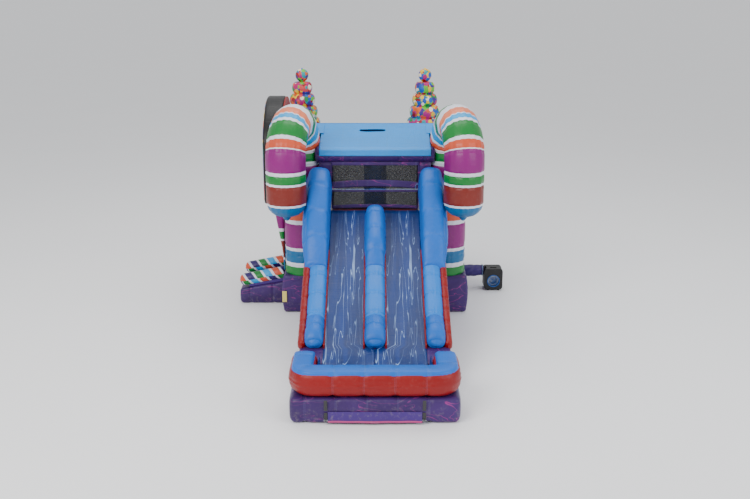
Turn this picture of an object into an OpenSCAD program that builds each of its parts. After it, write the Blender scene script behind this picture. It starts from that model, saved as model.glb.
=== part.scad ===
// Inflatable bounce house with a twin-lane front slide and a splash pool.
// X runs across, -Y is the slide and pool side, Z is up, all in millimetres.
// The origin is on the ground under the middle of the jumping area.
// Every air chamber is a closed skin with the air space left empty inside it.

/* [Jump] */
// Side of the square jumping area
jump_w = 3960; // [3900:10:5000]
// Height of the jumping mattress
base_h = 500; // [400:10:620]
// Height of the low wall on the mattress
kerb_h = 330; // [250:10:420]
// Thickness of the low wall
kerb_t = 400; // [320:10:460]
// Thickness of every skin: coated vinyl, seams and doublers averaged
skin = 2.5; // [2:0.5:5]
// Thickness of loose sheets: mats, liners, nets and flaps
sheet = 3; // [2:0.5:5]
// Height of the side and rear top tubes' centre line
beam_z = 3240; // [3100:10:3340]
// Radius of the top tubes
beam_r = 170; // [140:5:200]
// Height of the front top tube's centre line
front_beam_z = 3400; // [3300:10:3500]
// Height of the roof ridge
ridge_z = 3870; // [3800:10:4200]
// Radius of the rear corner posts
post_r = 290; // [240:10:310]

/* [Canes] */
// Radius of the striped cane tubes
cane_r = 400; // [340:5:410]
// Overall height of the canes
cane_top = 4490; // [4350:10:4900]
// Radius of the hook's centre line
hook_r = 680; // [660:5:760]
// Outward turn of the hooks in degrees
hook_yaw = 9; // [8.5:0.5:14]
// Length of the front leg of a hook with its round end
hook_leg = 1040; // [820:10:1140]

/* [Cones] */
// Height of one puffed tier
tier_h = 280; // [220:10:330]
// Radius of the lowest tier
tier_r = 425; // [300:5:440]
// Radius of the ball on top
ball_r = 155; // [120:5:180]

/* [Slide] */
// Height of the slide's deck
deck_z = 2250; // [2000:10:2300]
// Length of the slide from the jump to the pool
slide_l = 4020; // [3900:10:5000]
// Width of the slide's body
slide_w = 2720; // [2600:10:2760]
// Width of the middle rail
mid_rail_w = 380; // [300:10:440]
// Width of the outer rails
side_rail_w = 430; // [340:10:435]
// Width of the lower rail pads
pad_w = 380; // [300:10:420]
// Height of the lane where it runs out
runout_z = 500; // [470:5:620]

/* [Pool] */
// Length of the pool
pool_l = 1340; // [1200:10:2400]
// Width of the pool
pool_w = 2820; // [2600:10:3200]
// Height of the pool's mattress
pool_base_h = 440; // [360:10:460]
// Height of the pool's wall
pool_wall_h = 390; // [300:10:450]
// Height of the ring on the wall
pool_ring_h = 50; // [40:5:120]
// Thickness of the pool's wall
pool_wall_t = 460; // [380:10:480]

/* [Entrance] */
// Width of the entrance ramp
ramp_w = 1200; // [1100:10:1300]
// Length of the entrance ramp
ramp_l = 1010; // [950:10:1500]
// Height of the ramp's outer end
ramp_low = 330; // [250:10:380]
// Radius of the ramp's side tubes
ramp_tube_r = 130; // [100:5:150]
// Thickness of the sign panel
sign_t = 440; // [300:10:480]
// Top of the sign panel
sign_top = 4400; // [4200:10:4600]

/* [Blower] */
// Width and depth of the blower's housing
blower_w = 420; // [380:5:460]
blower_d = 360; // [330:5:400]
// Height of the housing above its feet
blower_h = 490; // [460:5:540]
// Wall thickness of the moulded housing
shell_t = 4; // [3:0.5:6]
// Outer radius of the outlet nozzle
outlet_r = 105; // [90:5:115]
// Radius of the air inlet
inlet_r = 142; // [120:2:150]
// Radius of the motor shaft
shaft_r = 8; // [6:0.5:10]
// Free radius of running fits
run_fit = 0.05; // [0.03:0.01:0.08]

/* [Hidden] */
$fn = 64;
$i = 0;
GAP = 0.5;                       // air between pieces that move past each other
front_y = -jump_w / 2;
rear_y = jump_w / 2;
side_x = jump_w / 2;
kerb_z = base_h + kerb_h;
cane_x = side_x - cane_r - 50;
cane_y = front_y + cane_r;
arch_z = cane_top - hook_r - cane_r;
rear_post = side_x - post_r - 10;
beam_x = cane_x + cane_r - beam_r;
rear_beam_y = rear_y - beam_r - 50;
front_beam_y = front_y + beam_r + 10;
beam_top = beam_z + beam_r;
ridge_y = -600;
ridge_r = 120;
cone_y = rear_y - tier_r - 20;
cone_left_x = -side_x + tier_r - 170;
cone_right_x = 1180;
end_y = front_y - slide_l;
deck_l = 170;                    // flat lip before the lane drops
runout_l = 900;                  // length of the curve into the pool
run_share = 0.97;                // share of the fall taken by the straight run
lane_a = [front_y - deck_l, deck_z];
lane_drop = run_share * (deck_z - runout_z) / (slide_l - deck_l - runout_l / 2);
lane_b = [end_y + runout_l, deck_z - lane_drop * (slide_l - deck_l - runout_l)];
bulb_l = 1810;                   // length of the rail bulbs from the jump
pad_l = 1210;                    // length of the rail pads
bump_gap = 440;                  // from the end of the bumpers to the pool
arm_gap = 280;                   // from the slide to the pool wall's arms
bulb_y = front_y - bulb_l;
pad_y = bulb_y - pad_l;
bump_y = end_y + bump_gap;
rail_in = 910;
lane_in = mid_rail_w / 2 + 5;
climb_w = 1800;
climb_top_y = front_y + 430;
climb_foot_y = front_y + 1180;
door_y0 = cane_y + cane_r + 30;
ramp_y0 = door_y0 - 220;
ramp_y1 = ramp_y0 + ramp_w;
door_r = 130;
door_y1 = ramp_y1 + 5;
door_top = 2300;
wall_x = cane_x + cane_r + 10;
sign_y0 = front_y + 630;
sign_y1 = cone_y - tier_r - 20;
sign_low = 2250;
pool_y = end_y - pool_l;
pool_in = pool_w / 2 - pool_wall_t;
pool_wall_z = pool_base_h + pool_wall_h;
net_y = front_y + 65;
net_w = 2 * rail_in - 8;
net_top = 3265;
net_mid = 2900;
net_fold = 2690;
net_low = deck_z + 25;
sleeve_z = 440;
blower_x = side_x + 730;
blower_y = -270;
foot_h = 24;
web_t = 5;
web_w = 56;
ring_r = 30;
wire_r = 4;

// A closed skin: the children drawn full size, less the same children drawn
// smaller by the skin's thickness, which they read as $i.
module hollow() {
    difference() {
        union() { $i = 0; children(); }
        union() { $i = skin; children(); }
    }
}
module box(lo, hi) translate(lo + [$i, $i, $i]) cube(hi - lo - [2 * $i, 2 * $i, 2 * $i]);
module post(x, y, z0, z1, r) translate([x, y, z0 + $i]) cylinder(r = r - $i, h = z1 - z0 - 2 * $i);
module tube_x(x0, x1, y, z, r)
    translate([x0 + $i, y, z]) rotate([0, 90, 0]) cylinder(r = r - $i, h = x1 - x0 - 2 * $i);
module tube_y(y0, y1, x, z, r)
    translate([x, y1 - $i, z]) rotate([90, 0, 0]) cylinder(r = r - $i, h = y1 - y0 - 2 * $i);
// An outline in Y and Z carried across from x0 to x1, and one in X and Z from y0 to y1.
module across(x0, x1, pts)
    translate([x0 + $i, 0, 0]) rotate([90, 0, 90]) linear_extrude(x1 - x0 - 2 * $i) polygon(pts);
module along(y0, y1, pts)
    translate([0, y1 - $i, 0]) rotate([90, 0, 0]) linear_extrude(y1 - y0 - 2 * $i) polygon(pts);
function arc(c, r, a0, a1, n = 8) =
    [for (k = [0:n]) let (a = a0 + (a1 - a0) * k / n) c + r * [cos(a), sin(a)]];

// The lane: flat deck, straight run, then a soft curve into the pool.
function lane_line(y) = deck_z - lane_drop * (lane_a[0] - y);
function lane_curve(t) =
    (1 - t) * (1 - t) * lane_b[1] + 2 * t * (1 - t) * lane_line(lane_b[0] - runout_l / 2)
    + t * t * runout_z;
function lane_z(y) =
    y >= lane_a[0] ? deck_z
    : y >= lane_b[0] ? lane_line(y)
    : y >= end_y ? lane_curve((lane_b[0] - y) / runout_l)
    : runout_z;
function lane_ys(y0, y1) = concat(
    [y0], y0 > lane_a[0] && y1 < lane_a[0] ? [lane_a[0]] : [],
    y0 > lane_b[0] && y1 < lane_b[0] ? [lane_b[0]] : [],
    [for (k = [1:7]) let (y = lane_b[0] - runout_l * k / 8) if (y < y0 - 1 && y > y1 + 1) y], [y1]);
function lane_pts(y0, y1, up) = [for (y = lane_ys(y0, y1)) [y, lane_z(y) + up]];
function turned(v) = [for (k = [len(v) - 1:-1:0]) v[k]];

// ---- jumping area ----
module jump_base() color("#3c2d6e") hollow()
    box([-side_x, front_y, 0], [side_x, rear_y, base_h]);

// The mat lies inside the low wall, clear of its two rear corner blocks.
corner = 2 * cane_r + 50;
rear_corner = 2 * post_r + 20;
module jump_floor() color("#1450af") {
    x = side_x - kerb_t;
    x_rear = side_x - rear_corner;
    translate([-x, climb_foot_y, base_h]) cube([2 * x, rear_y - rear_corner - climb_foot_y, sheet]);
    translate([-x_rear, climb_foot_y, base_h]) cube([2 * x_rear, rear_y - kerb_t - climb_foot_y, sheet]);
}

module wall_kerb() color("#3c2d6e") hollow() {
    for (x = [-side_x, side_x - corner]) box([x, front_y, base_h], [x + corner, front_y + corner, kerb_z]);
    for (x = [-side_x, side_x - rear_corner])
        box([x, rear_y - rear_corner, base_h], [x + rear_corner, rear_y, kerb_z]);
    box([-side_x, door_y1, base_h], [-side_x + kerb_t, rear_y, kerb_z]);
    box([side_x - kerb_t, front_y, base_h], [side_x, rear_y, kerb_z]);
    box([-side_x, rear_y - kerb_t, base_h], [side_x, rear_y, kerb_z]);
}

// A cane: a corner post, a half ring forward and a front leg with a round end. The three
// tubes are separate chambers that meet at sewn walls, so each is closed by itself.
seam_gap = 0.4;
module cane(s) {
    straight = hook_leg - cane_r - seam_gap;
    hollow() post(s * cane_x, cane_y, kerb_z, arch_z - seam_gap, cane_r);
    translate([s * cane_x, cane_y, 0]) rotate([0, 0, s * hook_yaw]) {
        translate([0, -hook_r, arch_z]) rotate([90, 0, 90]) hollow() {
            lap = atan2($i, hook_r);
            rotate([0, 0, lap]) rotate_extrude(angle = 180 - 2 * lap) translate([hook_r, 0])
                polygon(arc([0, 0], cane_r - $i, 0, 345, 23));
        }
        translate([0, -2 * hook_r, arch_z - hook_leg + cane_r]) hollow() rotate_extrude() polygon(concat(
            [[0, straight - $i], [0, (cane_r - $i) * sin(-78)]],
            arc([0, 0], cane_r - $i, -78, 0, 10), [[cane_r - $i, straight - $i]]));
    }
}
module cane_left() color("#e6e8f0") cane(-1);
module cane_right() color("#e6e8f0") cane(1);

module rear_posts() color("#1e82d2") for (s = [-1, 1]) hollow()
    post(s * rear_post, rear_post, kerb_z, beam_top, post_r);

// A cone of puffed tiers, each narrower than the one below, and a ball on top.
tiers = 4;
function tier_out(k) = k >= tiers ? ball_r : tier_r - (tier_r - ball_r - 85) * k / (tiers - 1);
function tier_side(k, cut) =
    let (h = k >= tiers ? 2 * ball_r : tier_h, z0 = k * tier_h, waist = tier_out(k) - 0.3 * tier_h)
    [for (j = [0:8]) let (a = -90 + 180 * j / 8)
        [max(waist, 20) * (k >= tiers ? 0 : 1) + (tier_out(k) - (k >= tiers ? 0 : max(waist, 20)))
            * cos(a) - cut, z0 + h / 2 * (1 + sin(a))]];
function cone_side(cut) = [for (k = [0:tiers]) for (p = tier_side(k, cut)) p];
cone_h = tiers * tier_h + 2 * ball_r;
module cone(x) translate([x, cone_y, beam_top + sheet + 6]) color("#c8505a") difference() {
    rotate_extrude() polygon(concat([[0, 0]], cone_side(0), [[0, cone_h]]));
    rotate_extrude() polygon(concat([[0, 2 * skin]], [for (p = cone_side(skin))
        if (p[1] > 2 * skin && p[1] < cone_h - 2 * skin && p[0] > skin) p], [[0, cone_h - 2 * skin]]));
}
module cone_left() cone(cone_left_x);
module cone_right() cone(cone_right_x);

// Top tubes end just short of the posts.
module beam_front() color("#3c2d6e") hollow() {
    x = cane_x - cane_r - 1;
    tube_x(-x, x, front_beam_y, front_beam_z, beam_r);
}
module side_beam(s) hollow()
    tube_y(cane_y + cane_r + 1, rear_post - post_r - 1, s * beam_x, beam_z, beam_r);
module beam_left() color("#1e82d2") side_beam(-1);
module beam_right() color("#1e82d2") side_beam(1);
module beam_rear() color("#1e82d2") hollow() {
    x = rear_post - post_r - 1;
    tube_x(-x, x, rear_beam_y, beam_z, beam_r);
}

module ridge_frame() color("#1e82d2") hollow() {
    z = ridge_z - 12 - ridge_r;
    tube_x(-beam_x, beam_x, ridge_y, z, ridge_r);
    for (s = [-1, 1]) post(s * (beam_x - ridge_r), ridge_y, beam_top, z, ridge_r - 10);
}

// The roof sheet: an eave over the front tube, up to the ridge, down to the rear.
roof_low = beam_top + sheet + 3;
roof_front = [[front_y - 12, front_beam_z + 20], [front_y - 12, front_beam_z + 100],
    [front_beam_y - 110, front_beam_z + 165], [front_beam_y, front_beam_z + beam_r + 12]];
roof_back = [[ridge_y, ridge_z], [rear_y - 900, roof_low], [rear_y - 10, roof_low]];
function roof_line(p) = concat(p, turned([for (q = p) q + [sheet + 1, -sheet - 1]]));
roof_slope = (ridge_z - roof_front[3][1]) / (ridge_y - front_beam_y);
roof_step = [door_y0, ridge_z - (ridge_y - door_y0) * roof_slope];
module roof_canopy() color("#6eafeb") {
    x = cane_x - cane_r - 20;
    across(-x, x, roof_line(concat(roof_front, [roof_step])));
    across(-side_x + 50, side_x - 50, roof_line(concat([roof_step], roof_back)));
}

// Mesh walls between the posts.
module net_right() color("#202024")
    translate([beam_x - sheet / 2, cane_y + cane_r - 60, kerb_z])
        cube([sheet, rear_post - post_r - cane_y - cane_r + 60, beam_z - beam_r - kerb_z]);
module net_rear() color("#202024")
    translate([-rear_post + post_r, rear_beam_y - sheet / 2, kerb_z])
        cube([2 * (rear_post - post_r), sheet, beam_z - beam_r - kerb_z]);
module net_left() color("#202024")
    translate([-beam_x - sheet / 2, door_y1 + 2 * door_r + 10, kerb_z])
        cube([sheet, rear_post - post_r - door_y1 - 2 * door_r - 10, beam_z - beam_r - kerb_z]);
module door_frame() color("#1e82d2") hollow() {
    post(-beam_x, door_y1 + door_r, kerb_z, beam_z - beam_r, door_r);
    tube_y(cane_y + cane_r + 1, door_y1 + door_r, -beam_x, door_top + door_r, door_r - 10);
}

// The sign over the entrance, with a printed face, a red back and two tapered legs.
// Its top is one arc over the middle, with square lower corners.
sign_half = (sign_y1 - sign_y0) / 2;
sign_drop = 850;
sign_arc = (sign_half * sign_half + sign_drop * sign_drop) / (2 * sign_drop);
sign_turn = asin(sign_half / sign_arc);
function sign_outline(i) = concat(
    [[sign_y1 - i, sign_low + i]],
    arc([sign_y0 + sign_half, sign_top - sign_arc], sign_arc - i, 90 - sign_turn + 0.06 * i,
        90 + sign_turn - 0.06 * i, 20),
    [[sign_y0 + i, sign_low + i]]);
module sign_panel() color("#141416") hollow()
    across(-wall_x - sign_t + sheet, -wall_x - sheet, sign_outline($i));
module sign_face() color("#c86482")
    across(-wall_x - sign_t, -wall_x - sign_t + sheet, sign_outline(12));
module sign_back() color("#b4141e") across(-wall_x - sheet, -wall_x, sign_outline(12));
module sign_leg(y0, y1) hollow() along(y0, y1, [
    [-wall_x - $i, kerb_z + $i], [-wall_x - $i, sign_low - $i],
    [-wall_x - sign_t / 2 + $i, sign_low - $i], [-wall_x - 30 + $i, kerb_z + 320 + $i],
    [-wall_x - 30 + $i, kerb_z + $i]]);
module sign_legs() color("#b43c64") {
    sign_leg(ramp_y0 - 170, ramp_y0 + 150);
    sign_leg(ramp_y1 + 20, ramp_y1 + 340);
}

module ramp_body() color("#3c2d6e") hollow() along(ramp_y0, ramp_y1, [
    [-side_x - ramp_l + $i, $i], [-side_x - ramp_l + $i, ramp_low - $i],
    [-side_x - $i, base_h - $i], [-side_x - $i, $i]]);
// Side tubes that climb from the ramp's low end to the door, each on a filler panel.
module ramp_rails() color("#dc7850")
    for (y = [ramp_y0 + ramp_tube_r, ramp_y1 - ramp_tube_r]) hollow() difference() {
        run = ramp_l - 190;
        rise = run * 0.24;
        x0 = -side_x - ramp_l + ramp_tube_r + 20;
        z0 = ramp_low + ramp_tube_r + 40;
        union() {
            translate([x0, y, z0]) sphere(r = ramp_tube_r - $i);
            translate([x0, y, z0]) rotate([0, atan2(run, rise), 0])
                cylinder(r = ramp_tube_r - $i, h = norm([run, rise]));
            along(y - 70, y + 70, [[x0 + 40 + $i, z0], [x0 + run, z0 + rise],
                [x0 + run, base_h - 30 + 2 * $i], [x0 + 40 + $i, ramp_low + 40 + 2 * $i]]);
        }
        translate([-side_x - 3 - $i, y - 500, 0]) cube([400, 1000, 3000]);
        along(y - 400, y + 400, [[x0 - 200, 0], [x0 - 200, ramp_low + 3 + $i],
            [-side_x - ramp_l, ramp_low + 3 + $i], [-side_x, base_h + 3 + $i],
            [-side_x + 200, base_h + 3 + $i], [-side_x + 200, 0]]);
    }

// ---- climb and deck inside the jump ----
climb_run = climb_foot_y - climb_top_y;
climb_rise = deck_z - base_h;
climb_len = norm([climb_run, climb_rise]);
climb_out = [climb_rise, climb_run] / climb_len;
module climb_wall() color("#c3282e") hollow() across(-climb_w / 2, climb_w / 2, [
    [front_y + 1 + $i, base_h + $i], [front_y + 1 + $i, deck_z - $i], [climb_top_y - $i, deck_z - $i],
    [climb_foot_y - 1.6 * $i, base_h + $i]]);
module climb_steps() color("#f0c828") for (k = [1:4]) hollow() {
    at = [climb_foot_y, base_h] + [-climb_run, climb_rise] * k / 5 + climb_out * 56;
    tube_x(100 - climb_w / 2, climb_w / 2 - 100, at[0], at[1], 55);
}
module climb_handles() color("#141416") for (k = [1:4], s = [-1, 1]) {
    at = [climb_foot_y, base_h] + [-climb_run, climb_rise] * (k + 0.5) / 5 + climb_out * 1;
    translate([s * 420, at[0], at[1]]) rotate([atan2(climb_run, climb_rise), 0, 0])
        rotate_extrude(angle = 180) translate([60, 0]) square([5, 38], center = true);
}
divider_r = 240;
module divider_post() color("#1e82d2") hollow()
    post(0, front_y + divider_r + 80, deck_z, front_beam_z - beam_r, divider_r);

// ---- slide ----
module slide_body() color("#3c2d6e") hollow() across(-slide_w / 2, slide_w / 2, concat(
    [[front_y - $i, $i], [front_y - $i, deck_z - $i]],
    lane_pts(lane_a[0] + $i / 4, end_y + $i, -1.13 * $i), [[end_y + $i, $i]]));
// Baffles stand inside the mattress and the slide and hold their flat shape.
module air_baffles() color("#2c2350") {
    n = 8;
    for (k = [1:n - 1]) translate([-side_x + jump_w * k / n, front_y + 150, skin])
        cube([2, jump_w - 300, base_h - 2 * skin]);
    for (k = [1:5]) across(-slide_w / 2 + slide_w * k / 6, -slide_w / 2 + slide_w * k / 6 + 2, concat(
        [[front_y - 150, skin], [front_y - 150, deck_z - skin]],
        lane_pts(lane_a[0], end_y + 150, -1.13 * skin), [[end_y + 150, skin]]));
}
flap_l = 190;
module lane(s) {
    tip = [end_y - flap_l, runout_z - 24];
    x0 = s > 0 ? lane_in : -rail_in + 5;
    across(x0, x0 + rail_in - 5 - lane_in, concat(lane_pts(front_y - 8, end_y, 0.2), [tip, tip + [0, sheet]],
        turned(lane_pts(front_y - 8, end_y, sheet))));
}
module lane_left() color("#1446a0") lane(-1);
module lane_right() color("#1446a0") lane(1);

// Rails stand on the slide: tall bulbs by the deck, low pads, then bumpers by the pool.
rail_lift = 2;                   // the rails' undersides stay clear of the slide's top
function rail_outline(y0, y1, top, i) = concat(turned(lane_pts(y0 - i, y1 + i, rail_lift + 1.2 * i)), top);
module side_bulb(s) hollow() {
    y0 = front_y - 5;
    x0 = s > 0 ? rail_in : -rail_in - side_rail_w;
    across(x0, x0 + side_rail_w, rail_outline(y0, bulb_y, [
        [y0 - $i, deck_z + 800 - $i], [y0 - 90, deck_z + 940 - $i], [y0 - 330, deck_z + 950 - $i],
        [y0 - 620, deck_z + 800 - $i], [y0 - 1000, deck_z + 380 - $i], [y0 - 1500, deck_z - 120 - $i],
        [bulb_y + 60 + $i, lane_z(bulb_y) + 260 - $i], [bulb_y + $i, lane_z(bulb_y) + 160 - $i]], $i));
}
module mid_bulb() hollow() {
    y0 = front_y - 8;
    across(-mid_rail_w / 2, mid_rail_w / 2, rail_outline(y0, bulb_y, [
        [y0 - $i, deck_z + 14], [y0 - 200, deck_z + 60 - $i], [y0 - 400, deck_z + 230 - $i],
        [y0 - 620, deck_z + 260 - $i], [y0 - 1000, deck_z + 90 - $i], [y0 - 1500, deck_z - 190 - $i],
        [bulb_y + 60 + $i, lane_z(bulb_y) + 240 - $i], [bulb_y + $i, lane_z(bulb_y) + 150 - $i]], $i));
}
module rail_bulbs() color("#1e82d2") {
    side_bulb(-1);
    mid_bulb();
    side_bulb(1);
}
function rail_x(s, w) = s == 0 ? -mid_rail_w / 2 : s > 0 ? rail_in : -rail_in - w;
module rail_pads() color("#6eafeb") for (s = [-1, 0, 1]) hollow() {
    w = s == 0 ? mid_rail_w : pad_w;
    across(rail_x(s, w), rail_x(s, w) + w, rail_outline(bulb_y - 2, pad_y, [
        [bulb_y - 2 - $i, lane_z(bulb_y) + 200 - 1.2 * $i],
        [pad_y + $i, lane_z(pad_y) + 200 - 1.2 * $i]], $i));
}
module rail_bumpers() color("#1e82d2") for (s = [-1, 0, 1]) hollow() {
    w = s == 0 ? mid_rail_w : pad_w;
    across(rail_x(s, w), rail_x(s, w) + w, rail_outline(pad_y - 2, bump_y, [
        [pad_y - 2 - $i, lane_z(pad_y) + 240 - $i], [pad_y - 100, lane_z(pad_y) + 260 - $i],
        [bump_y + 200, lane_z(bump_y + 200) + 290 - $i], [bump_y + 70, lane_z(bump_y) + 250 - $i],
        [bump_y + $i, lane_z(bump_y) + 150 - $i]], $i));
}

// ---- pool ----
module pool_base() color("#3c2d6e") hollow()
    box([-pool_w / 2, pool_y, 0], [pool_w / 2, end_y, pool_base_h]);
module pool_u(z0, z1, cut) {
    x = pool_w / 2 - cut;
    box([-x, pool_y + cut, z0], [x, pool_y + pool_wall_t - cut, z1]);
    for (s = [-1, 1]) box([s > 0 ? pool_in + cut : -x, pool_y + cut, z0],
        [s > 0 ? x : -pool_in - cut, end_y - arm_gap, z1]);
}
module pool_wall() color("#b4141e") hollow() pool_u(pool_base_h, pool_wall_z, 0);
module pool_ring() color("#1e82d2") hollow() pool_u(pool_wall_z, pool_wall_z + pool_ring_h, 20);
module pool_liner() color("#1446a0") difference() {
    translate([-pool_in, pool_y + pool_wall_t, pool_base_h])
        cube([2 * pool_in, end_y - arm_gap - pool_y - pool_wall_t, pool_wall_h - 60]);
    translate([-pool_in + sheet, pool_y + pool_wall_t + sheet, pool_base_h + sheet])
        cube([2 * pool_in - 2 * sheet, end_y - pool_y, pool_wall_h]);
}
// Two straps sewn down the front, with a flat flap between them.
strap_x = pool_w / 2 - 620;
module pool_apron() color("#46327a") {
    x = strap_x - web_w / 2 - 6;
    translate([-x, pool_y - 4, 42]) cube([2 * x, 4, 190]);
}
ring_z = 90;
ring_y = pool_y - web_t - wire_r - 3;
module anchor_webs() color("#141416") for (s = [-1, 1]) difference() {
    union() {
        translate([s * strap_x - web_w / 2, pool_y - web_t, 60])
            cube([web_w, web_t, pool_base_h - 80]);
        translate([s * strap_x - web_w / 2 + 4, ring_y, ring_z]) rotate([0, 90, 0])
            cylinder(r = wire_r + 3, h = web_w - 8);
        translate([s * strap_x - web_w / 2 + 4, ring_y, ring_z - 7]) cube([web_w - 8, 8, 14]);
    }
    translate([s * strap_x - web_w, ring_y, ring_z]) rotate([0, 90, 0])
        cylinder(r = wire_r + run_fit, h = 2 * web_w);
}
module anchor_ring(s) translate([s * strap_x, ring_y, ring_z]) {
    translate([-ring_r - wire_r, 0, 0]) rotate([0, 90, 0]) cylinder(r = wire_r, h = 2 * ring_r + 2 * wire_r);
    rotate([-90, 0, 0]) rotate_extrude(angle = 180) translate([ring_r, 0]) circle(r = wire_r);
}
module anchor_ring_left() color("#b4b6ba") anchor_ring(-1);
module anchor_ring_right() color("#b4b6ba") anchor_ring(1);

// ---- net in the slide's mouth ----
module net_upper() color("#3c2d6e")
    translate([-net_w / 2, net_y - sheet / 2, net_fold + 12]) cube([net_w, sheet, net_top - net_fold - 12]);
// The lower net turns on the cord in its top hem.
hem_r = 5;
module net_flap() color("#3c2d6e") {
    translate([-net_w / 2, net_y - sheet / 2, net_low]) cube([net_w, sheet, net_fold - net_low]);
    tube_x(-net_w / 2, net_w / 2, net_y, net_fold, hem_r, $i = 0);
}
module tie_cord() color("#78a0d2")
    translate([net_w / 2, net_y - 42, net_mid - 60]) rotate([0, 90, 0])
        cylinder(r = 6, h = cane_x - 155 - net_w / 2);

// ---- blower and sleeve ----
nozzle_l = 80;
nozzle_x = blower_x - blower_w / 2;
module inflation_sleeve() color("#50327a") difference() {
    l = nozzle_x - side_x - 6;
    translate([side_x, blower_y, sleeve_z]) rotate([0, 90, 0]) cylinder(r = outlet_r + 12, h = l);
    translate([side_x - 1, blower_y, sleeve_z]) rotate([0, 90, 0]) cylinder(r = outlet_r + GAP, h = l + 2);
}
module sleeve_strap() color("#b4dcf0") difference() {
    x = nozzle_x - nozzle_l + 20;
    translate([x, blower_y, sleeve_z]) rotate([0, 90, 0]) cylinder(r = outlet_r + 17, h = 38);
    translate([x - 1, blower_y, sleeve_z]) rotate([0, 90, 0]) cylinder(r = outlet_r + 12, h = 40);
}
// The housing's outline: a square with big round corners, standing on moulded feet.
module housing_outline(c) {
    w = blower_w / 2 - c;
    h = blower_h - 2 * c;
    r = 70;
    translate([-w, r]) square([2 * w, h - 2 * r]);
    translate([-w + r, 0]) square([2 * w - 2 * r, h]);
    for (x = [-w + r, w - r], z = [r, h - r]) translate([x, z]) circle(r = r);
}
module housing_block(y0, y1, c)
    translate([blower_x, y1, foot_h + c]) rotate([90, 0, 0]) linear_extrude(y1 - y0) housing_outline(c);
blow_y0 = blower_y - blower_d / 2;
blow_y1 = blower_y + blower_d / 2;
fan_z = foot_h + blower_h * 0.42;
module blower_housing() color("#141416") {
    difference() {
        housing_block(blow_y0, blow_y1 - 20, 0);
        housing_block(blow_y0 + shell_t, blow_y1, shell_t);
        translate([blower_x, blow_y0 - 5, fan_z]) rotate([-90, 0, 0]) cylinder(r = inlet_r - 12, h = 20);
        translate([nozzle_x - 5, blower_y, sleeve_z]) rotate([0, 90, 0])
            cylinder(r = outlet_r - 6, h = 60);
        // Finger slot of the carrying handle across the top.
        translate([blower_x - 75, blow_y0 + 80, foot_h + blower_h - 20]) cube([150, 60, 60]);
    }
    for (x = [-1, 1], y = [blow_y0 + 45, blow_y1 - 75])
        translate([blower_x + x * (blower_w / 2 - 90), y, 0]) cylinder(r = 28, h = foot_h + 1);
}
module blower_back() color("#1c1c20") difference() {
    housing_block(blow_y1 - 20, blow_y1, 0);
    translate([blower_x, blow_y1 - 15, fan_z]) rotate([-90, 0, 0]) cylinder(r = 70, h = 30);
    translate([blower_x, blow_y1 - 30, fan_z]) rotate([-90, 0, 0]) cylinder(r = shaft_r + 6, h = 50);
    translate(rocker_at - [17, 8, 12]) cube([34, 30, 24]);
    translate(rocker_at - [20, 0, 0]) rotate([0, 90, 0]) cylinder(r = rocker_pin + run_fit, h = 40);
}
module blower_outlet() color("#141416") difference() {
    translate([nozzle_x - nozzle_l, blower_y, sleeve_z]) rotate([0, 90, 0])
        cylinder(r = outlet_r, h = nozzle_l);
    translate([nozzle_x - nozzle_l - 1, blower_y, sleeve_z]) rotate([0, 90, 0])
        cylinder(r = outlet_r - 6, h = nozzle_l + 2);
}
// Round inlet guard: a rim and rings held by four spokes.
module inlet_guard() color("#0a5aa0") translate([blower_x, blow_y0 - 14, fan_z]) rotate([-90, 0, 0]) {
    difference() {
        cylinder(r = inlet_r, h = 14);
        translate([0, 0, -1]) cylinder(r = inlet_r - 16, h = 16);
    }
    for (r = [34:24:118]) difference() {
        translate([0, 0, 2]) cylinder(r = r, h = 5);
        translate([0, 0, 1]) cylinder(r = r - 5, h = 7);
    }
    for (a = [0, 90]) rotate([0, 0, a + 45]) translate([-inlet_r + 8, -4, 7]) cube([2 * inlet_r - 16, 8, 5]);
}
fan_r = 128;
fan_w = 110;
fan_y = blow_y0 + 60;
module impeller() color("#b4b8be") translate([blower_x, fan_y, fan_z]) rotate([-90, 0, 0]) difference() {
    blades = 24;
    union() {
        translate([0, 0, fan_w - 4]) cylinder(r = fan_r, h = 4);
        cylinder(r = fan_r, h = 5);
        translate([0, 0, fan_w - 44]) cylinder(r = 24, h = 44);
        for (k = [0:blades - 1]) rotate([0, 0, 360 * k / blades]) translate([fan_r - 26, 0, 4])
            rotate([0, 0, 35]) translate([-14, -1.2, 0]) cube([28, 2.4, fan_w - 7]);
    }
    translate([0, 0, -1]) cylinder(r = fan_r - 34, h = 7);
    translate([0, 0, fan_w - 50]) cylinder(r = shaft_r + run_fit, h = 60);
}
module motor() color("#6e7278") translate([blower_x, 0, fan_z]) rotate([-90, 0, 0]) {
    translate([0, 0, blow_y1 - 15]) cylinder(r = 70, h = 55);
    translate([0, 0, fan_y + fan_w - 40]) cylinder(r = shaft_r, h = blow_y1 - 15 - fan_y - fan_w + 40);
}
rocker_at = [blower_x + 77, blow_y1 - 4, foot_h + blower_h - 98];
rocker_pin = 1.5;
module switch_rocker() color("#0a0a0c") translate(rocker_at) {
    rotate([90, 0, 90]) translate([0, 0, -15]) linear_extrude(30)
        polygon([[-5, -7], [5, -9], [3.5, 0], [5, 9], [-5, 7]]);
    translate([-19.5, 0, 0]) rotate([0, 90, 0]) cylinder(r = rocker_pin, h = 39);
}

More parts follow.
